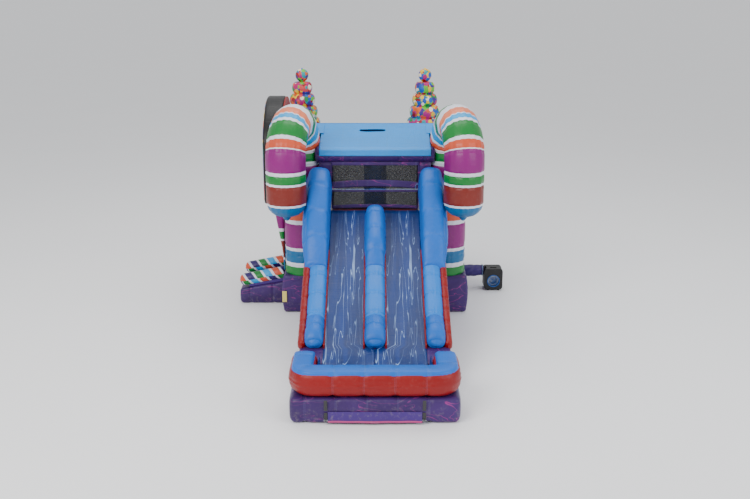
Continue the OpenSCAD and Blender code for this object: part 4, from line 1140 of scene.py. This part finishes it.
mesh = chamber("climb", climb_line, climb_half, (hi[0] - lo[0]) / 2 - 0.01, 0.05, 0.008, (0.02, 0.04),
               (0, 0.0), even_seams(climb_line, 0.4), (0.01, 0.04), axes=((0, 1, 0), (1, 0, 0)), flat=12)
place("climb wedge", mesh, M_RED, replaces=("climb_wall",))
run, rise = hi[1] - CLIMB_TOP_Y, DECK_Z - BASE_HI[2]
out_y, out_z = rise / math.hypot(run, rise), run / math.hypot(run, rise)
for k in range(1, 5):
    y, z = hi[1] - run * k / 5 + out_y * 0.058, BASE_HI[2] + rise * k / 5 + out_z * 0.058
    tube("climb roll " + str(k), (-0.8, y, z), (0.8, y, z), 0.055, M_YELLOW, "climb_steps",
         0.04, 0.01, 0.4)
    y, z = hi[1] - run * (k + 0.5) / 5, BASE_HI[2] + rise * (k + 0.5) / 5
    for side in (-1, 1):
        a = np.linspace(0, math.pi, 16)
        loop = np.stack([side * 0.42 + 0.06 * np.cos(a), y + out_y * (0.004 + 0.06 * np.sin(a)),
                         z + out_z * (0.004 + 0.06 * np.sin(a))], -1)
        mesh = chamber("handle", loop, 0.0025, 0.019, 0.002, 0.0, (0.002, 0.002), (0, 0), step=0.01, flat=2,
                       turn=2)
        place("climb handle " + str(k) + ("a" if side < 0 else "b"), mesh, M_WEB, replaces=("climb_handles",))
print("climb rolls: 4, handles: 8")

# %% [markdown]
# ## Slide
# The slide's body is one tall chamber whose top follows the lane: a flat deck, a straight run and a
# curve into the pool, (1 - t)^2 a + 2t(1 - t) b + t^2 c with t along the curve.
# %% Slide body and lanes
LIP, RUNOUT, RUN_SHARE, RUN_Z = 0.17, 0.9, 0.97, 0.5
SLIDE_L = FRONT_Y - SLIDE_END
LANE_A = FRONT_Y - LIP
LANE_DROP = RUN_SHARE * (DECK_Z - RUN_Z) / (SLIDE_L - LIP - RUNOUT / 2)
LANE_B = SLIDE_END + RUNOUT
BUMPER_END = low_high("rail_bumpers")[0][1]


def lane_z(y):
    """Height of the lane at depth y."""
    y = np.asarray(y, float)
    line = DECK_Z - LANE_DROP * (LANE_A - y)
    t = np.clip((LANE_B - y) / RUNOUT, 0, 1)
    start = DECK_Z - LANE_DROP * (LANE_A - LANE_B)
    knee = DECK_Z - LANE_DROP * (LANE_A - LANE_B + RUNOUT / 2)
    curve = (1 - t) ** 2 * start + 2 * t * (1 - t) * knee + t ** 2 * RUN_Z
    return np.where(y >= LANE_A, DECK_Z, np.where(y >= LANE_B, line, curve))


ys = np.concatenate([np.linspace(FRONT_Y, LANE_A, 4)[:-1], np.linspace(LANE_A, SLIDE_END, 60)])
path, half = tall_run(0.0, ys, 0.0, lane_z(ys))
SLIDE_HALF = SLIDE_HI[0]
mesh = chamber("slide", path, SLIDE_HALF - 0.02, half, 0.05, (0.02, 0.0, 0.02, 0.0), (0.02, 0.06), (0.0, 0.0),
               even_seams(path, 0.5), (0.006, 0.03), axes=((1, 0, 0), (0, 0, 1)), flat=24)
slide = place("slide body", mesh, M_PURPLE, replaces=("slide_body",))
for node, side in (("lane_left", -1), ("lane_right", 1)):
    lo, hi = low_high(node)
    lane_ys = np.linspace(hi[1], SLIDE_END, 90)
    line = np.stack([np.zeros(90), lane_ys, lane_z(lane_ys)], -1)
    flap_y = np.linspace(SLIDE_END, lo[1] - 0.01, 12)[1:]
    fall = np.clip((SLIDE_END - flap_y) / 0.2, 0, 1)
    line = np.concatenate([line, np.stack([np.zeros(11), flap_y, RUN_Z - 0.03 * fall], -1)])
    lane_length = path_length(line)

    def lane_surface(u, v, lo=lo, hi=hi, line=line, total=lane_length, side=side):
        """The lane hangs a little between the rails, and its loose end waves and has round corners."""
        at = along_path(line, v.ravel() * total).reshape(*v.shape, 3)
        past = np.clip((SLIDE_END + 0.02 - at[..., 1]) / 0.2, 0, 1)
        spread = np.clip((BUMPER_END + 0.1 - at[..., 1]) / 0.12, 0, 1) * (min(abs(lo[0]), abs(hi[0])) - 0.004)
        tuck = 0.06 * np.clip((past - 0.55) / 0.45, 0, 1) ** 2
        inner_edge = (lo[0] if side > 0 else hi[0]) - side * spread
        outer_edge = (hi[0] if side > 0 else lo[0]) - side * (tuck - 0.004 * (1 - past))
        near, far = (inner_edge, outer_edge) if side > 0 else (outer_edge, inner_edge)
        x = near + (far - near) * u
        wave = 0.014 * past * np.sin(7.5 * u + 2 * side) + 0.006 * past * np.sin(17 * u)
        folds = 0.010 * np.abs(ripple(2.6 * u, 1.6 * v, 31 + side, 7)) * np.sin(math.pi * u) ** 0.5
        lift = 0.012 * (2 * u - 1) ** 2 * (1 - past) + 0.006 + folds
        return x, at[..., 1], at[..., 2] + lift + wave
    made = sheet_piece(node.replace("_", " "), lane_surface, (hi[0] - lo[0], lane_length), (44, 170), M_LANE,
                       0.003, replaces=(node,))
print("lane length", round(lane_length, 2), "m")

# %% [markdown]
# ## Slide rails
# Three rails keep the sliders in their lanes. Each is a tall bulb by the deck, a low pad and a bumper
# by the pool. The outer ones bow out past the slide's body, where a red strip joins them.
# %% Rails
BULB_END, PAD_END = low_high("rail_bulbs")[0][1], low_high("rail_pads")[0][1]
RAIL_IN, MID_HALF, BULB_W, PAD_W = 0.91, 0.19, 0.45, 0.34
lip_y = FRONT_Y - 0.005


def rail_sides(side, width):
    """The two X faces of the middle rail, or of an outer rail of the given width."""
    return (-MID_HALF, MID_HALF) if side == 0 else sorted((side * RAIL_IN, side * (RAIL_IN + width)))


def rail_crown(side, middle, outward, inward, top):
    """The bow of a rail's right, top, left and bottom faces. Outer rails bow more on the outside."""
    if side == 0:
        return middle, top, middle, 0.0
    right, left = (outward, inward) if side > 0 else (inward, outward)
    return right, top, left, 0.0


def rail(name, x0, x1, ys, top, material, node, crown, corner=0.1, bulge=(0.02, 0.03), lowered=0.0):
    """A rail between x0 and x1 whose underside follows the lane and whose top is given along it."""
    fine = np.linspace(ys[0], ys[-1], 50)
    high = np.interp(-fine, -np.array(ys), top)
    kernel = np.array([1, 2, 3, 2, 1]) / 9
    smooth = np.convolve(np.pad(high, 2, mode="edge"), kernel, "valid")
    path, half = tall_run((x0 + x1) / 2, fine, lane_z(fine) - lowered, smooth)
    mesh = chamber(name, path, (x1 - x0) / 2 - 0.006, half, corner, crown, (0.05, 0.05), bulge,
                   even_seams(path, 0.5), (0.012, 0.04), (15, 0.006), axes=((1, 0, 0), (0, 0, 1)), flat=10)
    made = place(name, mesh, material, replaces=(node,))
    return made


for side, label in ((-1, "left"), (0, "middle"), (1, "right")):
    x0, x1 = rail_sides(side, BULB_W)
    wide = rail_crown(side, 0.05, 0.08, 0.03, 0.02)
    if side:
        shape_y = [lip_y, lip_y - 0.09, lip_y - 0.33, lip_y - 0.62, lip_y - 1.0, lip_y - 1.5, BULB_END]
        above_deck, at_end = (0.82, 0.94, 0.95, 0.80, 0.40, -0.1), 0.2
    else:
        shape_y = [lip_y, lip_y - 0.2, lip_y - 0.4, lip_y - 0.62, lip_y - 1.0, lip_y - 1.5, BULB_END]
        above_deck, at_end = (0.03, 0.07, 0.23, 0.26, 0.1, -0.17), 0.19
    shape_z = [DECK_Z + v for v in above_deck] + [float(lane_z(BULB_END)) + at_end]
    rail("rail bulb " + label, x0, x1, shape_y, shape_z, M_BLUE, "rail_bulbs", wide, 0.15)
    x0, x1 = rail_sides(side, PAD_W)
    wide = rail_crown(side, 0.02, 0.04, 0.01, 0.02)
    pad_y = np.linspace(BULB_END, PAD_END, 8)
    rail("rail pad " + label, x0, x1, pad_y, lane_z(pad_y) + 0.205, M_SKY, "rail_pads", wide,
         0.09, (0.012, 0.012))
    bump_ys = [PAD_END, PAD_END - 0.1, BUMPER_END + 0.2, BUMPER_END + 0.07, BUMPER_END]
    bump_zs = [float(lane_z(y)) + up for y, up in zip(bump_ys, (0.23, 0.26, 0.31, 0.29, 0.22))]
    wide = rail_crown(side, 0.04, 0.07, 0.02, 0.03)
    rail("rail bumper " + label, x0, x1, bump_ys, bump_zs, M_BLUE, "rail_bumpers", wide, 0.13,
         (0.012, 0.05))
for side in (-1, 1):
    strip_y = np.linspace(FRONT_Y - 1.55, BUMPER_END + 0.02, 60)
    path = np.stack([np.full(60, side * (SLIDE_HALF - 0.062)), strip_y, lane_z(strip_y) + 0.03], -1)
    mesh = chamber("red strip", path, 0.075, 0.1, 0.07, 0.0, (0.07, 0.07), (0.02, 0.02),
                   even_seams(path, 0.3), (0.008, 0.03), (9, 0.004), flat=4, turn=8)
    strip = place("slide side strip " + side_name(side), mesh, M_RED)
edge_lines = [(-RAIL_IN, "left outer"), (-MID_HALF, "left inner"), (MID_HALF, "right inner"),
              (RAIL_IN, "right outer")]
for x, label in edge_lines:
    strip_y = np.linspace(FRONT_Y - 1.3, BUMPER_END - 0.01, 60)
    inward = -np.sign(x) * 0.006 if abs(x) > 0.5 else np.sign(x) * 0.006
    path = np.stack([np.full(60, x + inward), strip_y, lane_z(strip_y) + 0.05], -1)
    mesh = chamber("red edge", path, 0.016, 0.045, 0.014, 0.0, (0.014, 0.014), (0.004, 0.004),
                   even_seams(path, 0.3), (0.003, 0.02), axes=((1, 0, 0), (0, 0, 1)), flat=3, turn=4)
    place("lane edge strip " + label, mesh, M_RED)
print("rail pieces: 9, side strips: 2, lane edge strips:", len(edge_lines))

# %% [markdown]
# ## Splash pool
# The pool is a mattress with a U of wall round three sides and a softer ring on top. The marbled
# liner lines its well. Straps, rings and a flat flap hang on the front face.
# %% Pool chambers
pool_mattress = box_block("pool_base", M_PURPLE, "x", edge=0.09, puff=0.03, seams=0.5, slot="vinyl_purple")


def u_path(x, front, back, z, radius):
    """A path along one arm, across the front and back along the other arm."""
    return rounded_path([(-x, back, z), (-x, front, z), (x, front, z), (x, back, z)], radius, 14)


WALL_T = 0.46
wall_x = WALL_HI[0] - WALL_T / 2
path = u_path(wall_x, WALL_LO[1] + WALL_T / 2, WALL_HI[1], (WALL_LO[2] + RING_HI[2]) / 2, 0.22)
mesh = chamber("pool wall", path, WALL_T / 2 - 0.01, (RING_HI[2] - WALL_LO[2]) / 2, 0.16,
               (0.03, 0.0, 0.03, 0.0), (0.14, 0.14), (0.01, 0.01), even_seams(path, 0.5), (0.012, 0.05),
               (14, 0.007), step=0.04, flat=8, turn=8)
place("pool wall", mesh, M_RED, replaces=("pool_wall",))
path = u_path(wall_x, WALL_LO[1] + WALL_T / 2, WALL_HI[1] - 0.02, RING_HI[2] - 0.055, 0.22)
ring_total = path_length(path)


def ring_half(s):
    """The ring's half height: full round its front, and sinking at both ends."""
    return 0.066 * np.clip(np.minimum(s, ring_total - s) / 0.2 + 0.3, 0, 1) ** 0.6


mesh = chamber("pool ring", path, WALL_T / 2 - 0.055, ring_half, 0.06, (0.02, 0.016, 0.02, 0.0), (0.06, 0.06),
               (0.02, 0.02), even_seams(path, 0.5), (0.008, 0.04), (14, 0.007), step=0.04, flat=8)
place("pool ring", mesh, M_BLUE, replaces=("pool_ring",))

# %% Pool liner
lo, hi = low_high("pool_liner")
LINER_H = hi[2] - lo[2]


def liner_surface(u, v):
    """A tray: three walls that rise from the floor with rounded feet, and the floor's slight puff."""
    wide = (hi[0] - lo[0]) / 2 - 0.004
    s = (2 * u - 1) * (wide + LINER_H)
    over = np.clip(np.abs(s) - wide, 0, None)
    x = np.sign(s) * np.minimum(np.abs(s), wide) - np.sign(s) * 0.02 * np.sin(math.pi * over / LINER_H)
    t = v * (hi[1] - lo[1] + LINER_H)
    rise = np.clip(LINER_H - t, 0, None)
    y = lo[1] + 0.004 + np.clip(t - LINER_H, 0, None) + 0.02 * np.sin(math.pi * rise / LINER_H)
    z = lo[2] + 0.006 + np.maximum(over, rise)
    floor = (over <= 0) & (rise <= 0)
    return x, y, z + np.where(floor, 0.006 * np.abs(np.sin(s * 6.6)) + 0.002 * ripple(x, y, 41), 0.0)


liner = sheet_piece("pool liner", liner_surface, (2.42, 1.14), (120, 70), M_LINER, 0.003,
                    replaces=("pool_liner",))

# %% Straps and flap on the pool front
lo, hi = low_high("pool_apron")


def apron_surface(u, v):
    """The flap hangs from its top edge with a slow wave that grows towards its foot."""
    x = lo[0] + (hi[0] - lo[0]) * u
    z = lo[2] + 0.03 + (hi[2] - lo[2] - 0.03) * v
    hang = 0.012 * (1 - v) * (np.sin(9 * u + 0.6) + 0.5 * np.sin(23 * u))
    return x, (lo[1] + hi[1]) / 2 - 0.006 - 0.008 * (1 - v) + hang * 0.6, z


def hem_surface(u, v):
    """The pink hem along the flap's foot."""
    x, y, z = apron_surface(u, v * 0.0)
    return x, y - 0.003 + 0 * v, z - 0.028 + 0.034 * v


apron = sheet_piece("pool flap", apron_surface, (hi[0] - lo[0], hi[2] - lo[2] - 0.03), (90, 14),
                    M_PURPLE_PLAIN, 0.002, replaces=("pool_apron",))
hem = sheet_piece("pool flap hem", hem_surface, (hi[0] - lo[0], 0.034), (90, 4), M_PINK, 0.002)
lo, hi = low_high("anchor_webs")
STRAP_X = hi[0] - 0.028
RING_Y, RING_Z, LOOP_R = -7.352, 0.09, 0.0072
for side, label in ((-1, "left"), (1, "right")):
    for part, (top, foot) in enumerate(((0.425, 0.25), (0.215, 0.06))):
        line = [(side * STRAP_X, POOL_LO[1] - 0.004, top),
                (side * STRAP_X, POOL_LO[1] - 0.008, (top + foot) / 2),
                (side * STRAP_X, POOL_LO[1] - 0.005, foot)]
        mesh = chamber("strap", line, 0.028, 0.0025, 0.002, 0.0, (0.002, 0.002), (0, 0), step=0.01, flat=4,
                       turn=2, axes=((1, 0, 0), (0, 1, 0)))
        place("anchor strap " + label + " " + str(part + 1), mesh, M_WEB, replaces=("anchor_webs",))
    a = np.linspace(0, 2 * math.pi, 21)[:-1]
    loop = np.stack([0 * a + side * STRAP_X, RING_Y + LOOP_R * np.cos(a), RING_Z + LOOP_R * np.sin(a)], -1)
    band = chamber("strap loop", np.concatenate([loop, loop[:1]]), 0.0012, 0.022, 0.001, 0.0, (0.001, 0.001),
                   (0, 0), step=0.004, flat=2, turn=2)
    place("anchor strap loop " + label, band, M_WEB, replaces=("anchor_webs",))
print("pool ring line", round(ring_total, 2), "m, straps at", round(float(STRAP_X), 2), "m")

# %% [markdown]
# ## Net in the slide's mouth
# The net has an upper part that stays put and a lower flap that children push open. Purple bands
# bind the fold, the foot and both sides. The bands bow up in the middle, as the net pulls them.
# %% Mouth net
lo, hi = low_high("net_upper")
flap_lo = low_high("net_flap")[0]
NET_Y = (lo[1] + hi[1]) / 2
FOLD_Z = 2.69


def net_part(name, z0, z1, body, node, seed):
    """A stretched rectangle of netting in the mouth."""
    def surface(u, v):
        """The net's point, bowed slightly outwards."""
        x = lo[0] + 0.02 + (hi[0] - lo[0] - 0.04) * u
        z = z0 + (z1 - z0) * v
        return x, NET_Y - 0.004 * np.sin(math.pi * u) * np.sin(math.pi * v) + 0.0015 * ripple(u, v, seed), z
    size = (hi[0] - lo[0] - 0.04, z1 - z0)
    return sheet_piece(name, surface, size, (60, 30), M_NET, NET_T, body, (node,)), size


def band_part(name, x0, x1, z0, z1, bow, body, thick=0.003, y_off=-0.004):
    """A purple band of vinyl over the net, bowed up in the middle."""
    def surface(u, v):
        """The band's point: z rises by bow times 1 - (2u - 1)^2."""
        x = x0 + (x1 - x0) * u
        return x, NET_Y + y_off + 0.002 * np.sin(11 * u), z0 + (z1 - z0) * v + bow * (1 - (2 * u - 1) ** 2)
    return sheet_piece(name, surface, (x1 - x0, z1 - z0), (60, 8), M_PURPLE, thick, body)


upper, upper_size = net_part("mouth net upper", FOLD_Z + 0.014, hi[2], "root", "net_upper", 51)
lower, lower_size = net_part("mouth net flap", flap_lo[2], FOLD_Z - 0.016, "net_flap", "net_flap", 52)
fold_band = band_part("mouth net fold band", lo[0], hi[0], FOLD_Z + 0.012, FOLD_Z + 0.15, 0.05, "root")
top_band = band_part("mouth net top band", lo[0], hi[0], hi[2] - 0.07, hi[2], 0.0, "root")
foot_band = band_part("mouth net foot band", lo[0], hi[0], flap_lo[2], flap_lo[2] + 0.07, 0.03, "net_flap")
fold_hem = band_part("mouth net flap hem", lo[0], hi[0], FOLD_Z - 0.05, FOLD_Z - 0.012, 0.0, "net_flap",
                     0.004)
hinge = tube("mouth net hem cord", (lo[0], NET_Y, FOLD_Z), (hi[0], NET_Y, FOLD_Z), 0.005, M_CORD, "net_flap",
             0.002, 0.0, 0.5, 0.0)
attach(hinge, "net_flap")
for side in (-1, 1):
    x0, x1 = sorted((side * hi[0], side * (hi[0] - 0.05)))
    band_part("mouth net side band " + side_name(side), x0, x1, FOLD_Z + 0.014,
                           hi[2], 0.0, "root", y_off=0.004)
    band_part("mouth flap side band " + side_name(side), x0, x1, flap_lo[2],
                           FOLD_Z - 0.016, 0.0, "net_flap", y_off=0.004)
for side in (-1, 1):
    # A purple panel closes the gap between the net and the cane's block.
    x0, x1 = sorted((side * hi[0], side * (FRONT_BLOCK + 0.02)))
    band_part("mouth filler panel " + side_name(side), x0, x1, DECK_Z + 0.3, hi[2], 0.0,
              "root", y_off=0.02)
print("mouth net", upper_size, lower_size)

# %% [markdown]
# ## Tie cord
# A thin cord ties the net's fold band back to the post, with a loop left hanging at the band.
# %% Tie cord
lo, hi = low_high("tie_cord")
CORD_D = 0.010
start = np.array([lo[0] - 0.03, NET_Y - 0.022, FOLD_Z + 0.115])
tie_end = np.array([hi[0] - 0.03, lo[1] + 0.015, lo[2] + 0.01])


def cord_line(count=90):
    """The cord's centre line: a drooping loop near the band, then a sagging run to the post."""
    t = np.linspace(0, 1, count)[:, None]
    a = 2 * math.pi * np.clip(t / 0.42, 0, 1)
    loop = np.concatenate([0.045 * np.sin(a), -0.012 * np.sin(a / 2), 0.11 * (np.cos(a) - 1) / 2], axis=1)
    past = np.clip((t - 0.42) / 0.58, 0, 1)
    run = start + np.array([0.0, -0.02, 0.0]) * np.clip(t / 0.42, 0, 1) + loop
    line = run + past * (tie_end - start - np.array([0.0, -0.02, 0.0]))
    line[:, 2:] -= 0.06 * np.sin(math.pi * past) * (past > 0)
    return line


cord_points = cord_line()
curve = bpy.data.curves.new("tie cord", "CURVE")
curve.dimensions = "3D"
curve.bevel_depth = CORD_D / 2
curve.bevel_resolution = 4
curve.use_fill_caps = True
spline = curve.splines.new("POLY")
spline.points.add(len(cord_points) - 1)
spline.points.foreach_set("co", np.concatenate([cord_points, np.ones((len(cord_points), 1))], 1).ravel())
cord = bpy.data.objects.new("tie_cord_line", curve)
bpy.context.scene.collection.objects.link(cord)
cord.data.materials.append(M_CORD)
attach(cord, "root")
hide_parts("tie_cord")
knot_line = cord_points[0] + 0.012 * np.stack([np.sin(np.linspace(0, 12.6, 60)) * 0.9,
                                               np.cos(np.linspace(0, 12.6, 60)) * 0.5,
                                               np.linspace(-0.8, 0.8, 60)], -1)
mesh = chamber("knot", knot_line, 0.005, 0.005, 0.005, 0.0, (0.004, 0.004), (0.001, 0.001), step=0.004,
               flat=0, turn=4)
knot = place("tie cord knot", mesh, M_CORD)

# %% [markdown]
# ## Inflation sleeve
# The blower pushes air through a cloth sleeve strapped round its nozzle. The strap gathers the cloth,
# so it wrinkles near it and bells out towards the mattress.
# %% Sleeve and strap
lo, hi = low_high("inflation_sleeve")
SLEEVE_R = (hi[2] - lo[2]) / 2
STRAP_LO, STRAP_HI = low_high("sleeve_strap")
SLEEVE_Y, SLEEVE_Z = (lo[1] + hi[1]) / 2, (lo[2] + hi[2]) / 2


def sleeve_surface(u, v):
    """Round the sleeve (u) and along it (v), with gathers near the strap."""
    x = lo[0] - 0.01 + (hi[0] - lo[0]) * v
    near = np.exp(-((x - (STRAP_LO[0] + 0.019)) / 0.09) ** 2)
    a = 2 * math.pi * u
    swell = 0.016 * np.sin(math.pi * np.clip((STRAP_LO[0] - x) / (STRAP_LO[0] - lo[0]), 0, 1))
    folds = 0.004 * near * np.cos(17 * a + 2 * np.sin(3 * a)) + 0.004 * (1 - near) * np.sin(5 * a + 18 * v)
    r = SLEEVE_R - 0.001 + swell + folds - 0.004 * near
    return x, SLEEVE_Y + r * np.cos(a), SLEEVE_Z - 0.01 * swell / 0.016 + r * np.sin(a)


v, u = np.meshgrid(np.linspace(0, 1, 60), np.linspace(0, 1, 97)[:-1], indexing="ij")
points = np.stack(np.broadcast_arrays(*sleeve_surface(u, v)), -1)
ue = np.meshgrid(np.linspace(0, 1, 60), np.linspace(0, 1, 97), indexing="ij")
uv = np.stack([ue[1] * 0.735, ue[0] * 0.51], -1)
sleeve = place("inflation sleeve cloth", grid_mesh("sleeve", points, uv, wrap=True, closed=False), M_SLEEVE,
               replaces=("inflation_sleeve",))
solid = sleeve.modifiers.new("thickness", "SOLIDIFY")
solid.thickness = CLOTH_T
a = np.linspace(0, 2 * math.pi, 65)
ring = np.stack([np.full(65, (STRAP_LO[0] + STRAP_HI[0]) / 2), SLEEVE_Y + (SLEEVE_R + 0.0045) * np.cos(a),
                 SLEEVE_Z + (SLEEVE_R + 0.0045) * np.sin(a)], -1)
mesh = chamber("strap", ring[:-1], 0.019, 0.0022, 0.002, 0.0, (0.001, 0.001), (0, 0), step=0.01, flat=3,
               turn=2)
place("sleeve strap band", mesh, M_BAND, replaces=("sleeve_strap",))
buckle = [(STRAP_HI[0] + 0.004, SLEEVE_Y - 0.02, SLEEVE_Z + SLEEVE_R + 0.006),
          (STRAP_HI[0] + 0.004, SLEEVE_Y + 0.02, SLEEVE_Z + SLEEVE_R + 0.006),
          (STRAP_LO[0] - 0.004, SLEEVE_Y + 0.02, SLEEVE_Z + SLEEVE_R + 0.006),
          (STRAP_LO[0] - 0.004, SLEEVE_Y - 0.02, SLEEVE_Z + SLEEVE_R + 0.006),
          (STRAP_HI[0] + 0.004, SLEEVE_Y - 0.015, SLEEVE_Z + SLEEVE_R + 0.006)]
mesh = chamber("buckle", rounded_path(buckle, 0.006, 5), 0.003, 0.003, 0.003, 0.0, (0.002, 0.002), (0, 0),
               step=0.004, flat=0, turn=3)
place("sleeve strap buckle", mesh, M_ZINC)

# %% [markdown]
# ## Blank card
# A small card is sewn by the left front corner. Nothing is printed on it.
# %% Card
lo, hi = low_high("placard")


def card_surface(u, v):
    """The card, curled away a little at its foot."""
    curl = 0.006 * (1 - v) ** 2 * (1 + 0.4 * np.sin(5 * u))
    return lo[0] + (hi[0] - lo[0]) * u, lo[1] - 0.004 - curl, lo[2] + (hi[2] - lo[2]) * v


card = sheet_piece("blank card sheet", card_surface, (hi[0] - lo[0], hi[2] - lo[2]), (16, 30), M_CARD, 0.0012,
                   replaces=("placard",))
print("card", [round(v, 3) for v in (hi[0] - lo[0], hi[2] - lo[2])])

# %% [markdown]
# ## Rigid parts
# The blower, the anchor rings and the zip come from the frame as they are. Each only takes a finish,
# and a few small fittings are added: screws round the back plate.
# %% Finishes on the frame's rigid parts
FINISH = {"blower_housing": M_HOUSING, "blower_back": M_HOUSING, "blower_outlet": M_HOUSING,
          "inlet_guard": M_INLET, "impeller": M_FAN, "motor": M_MOTOR, "switch_rocker": M_SWITCH,
          "cord_gland": M_SWITCH, "zip_parts": M_ZIP, "zip_slider": M_ZINC, "zip_pull": M_ZINC,
          "anchor_ring_left": M_ZINC, "anchor_ring_right": M_ZINC}
for node, material in FINISH.items():
    for material_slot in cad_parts[node].material_slots:
        material_slot.material = material
print("finished nodes:", len(FINISH))

# %% Blower screws
lo, hi = low_high("blower_back")
screw_y = hi[1]
work = bmesh.new()
for x in (lo[0] + 0.035, hi[0] - 0.035):
    for z in (lo[2] + 0.06, (lo[2] + hi[2]) / 2, hi[2] - 0.06):
        made = bmesh.ops.create_uvsphere(work, u_segments=16, v_segments=8, radius=0.008)
        bmesh.ops.scale(work, vec=(1, 0.45, 1), verts=made["verts"])
        bmesh.ops.translate(work, vec=(x, screw_y + 0.001, z), verts=made["verts"])
mesh = bpy.data.meshes.new("screws")
work.to_mesh(mesh)
work.free()
place("blower screws", mesh, M_ZINC, "blower")

# %% [markdown]
# ## Floor, light and camera
# A pale floor and big soft lights keep the colours true. The camera stands well back from the pool
# side and looks a little down.
# %% Stage
work = bmesh.new()
FLOOR_HALF = 1500
bmesh.ops.create_grid(work, x_segments=2, y_segments=2, size=FLOOR_HALF)
mesh = bpy.data.meshes.new("floor")
work.to_mesh(mesh)
work.free()
floor = bpy.data.objects.new("studio floor", mesh)
floor.location.z = -0.001
bpy.context.scene.collection.objects.link(floor)
floor_material, tree, shader, uv, at = start_material("studio floor")
tone = blend_colour(tree, noise(tree, at, 0.3, 2.0), srgb(246, 247, 249), srgb(250, 250, 251))
tree.links.new(tone, shader.inputs["Base Color"])
shader.inputs["Roughness"].default_value = 0.85
floor.data.materials.append(floor_material)


def soft_light(name, place_at, look_at, size, power, colour=(1.0, 1.0, 1.0)):
    """A square area light that faces a point."""
    data = bpy.data.lights.new(name, "AREA")
    data.size = size
    data.energy = power
    data.color = colour
    light = bpy.data.objects.new(name, data)
    light.location = place_at
    aim = np.array(look_at, float) - np.array(place_at, float)
    light.rotation_euler = (math.atan2(math.hypot(aim[0], aim[1]), -aim[2]), 0,
                            math.atan2(aim[0], -aim[1]) + math.pi)
    bpy.context.scene.collection.objects.link(light)
    return light


soft_light("key light", (-9, -17, 13), (0, -2.5, 1.5), 9, 2300, (1.0, 0.98, 0.95))
soft_light("fill light", (12, -13, 9), (0, -2.5, 1.5), 10, 900, (0.95, 0.97, 1.0))
soft_light("top light", (0, 1, 15), (0, -1, 0), 10, 900)
world = bpy.data.worlds.new("studio")
world.use_nodes = True
bpy.context.scene.world = world
world.node_tree.nodes["Background"].inputs[0].default_value = (0.97, 0.98, 1.0, 1.0)
world.node_tree.nodes["Background"].inputs[1].default_value = 0.85
camera_data = bpy.data.cameras.new("camera")
LENS_MM, SENSOR_MM = 46.03, 36
camera_data.lens = LENS_MM
camera_data.sensor_width = SENSOR_MM
camera_data.clip_end = 4000
camera = bpy.data.objects.new("camera", camera_data)
camera.location = (0, -21.38, 6.9)
camera.rotation_euler = (math.radians(74.2), 0, 0)
bpy.context.scene.collection.objects.link(camera)
bpy.context.scene.camera = camera
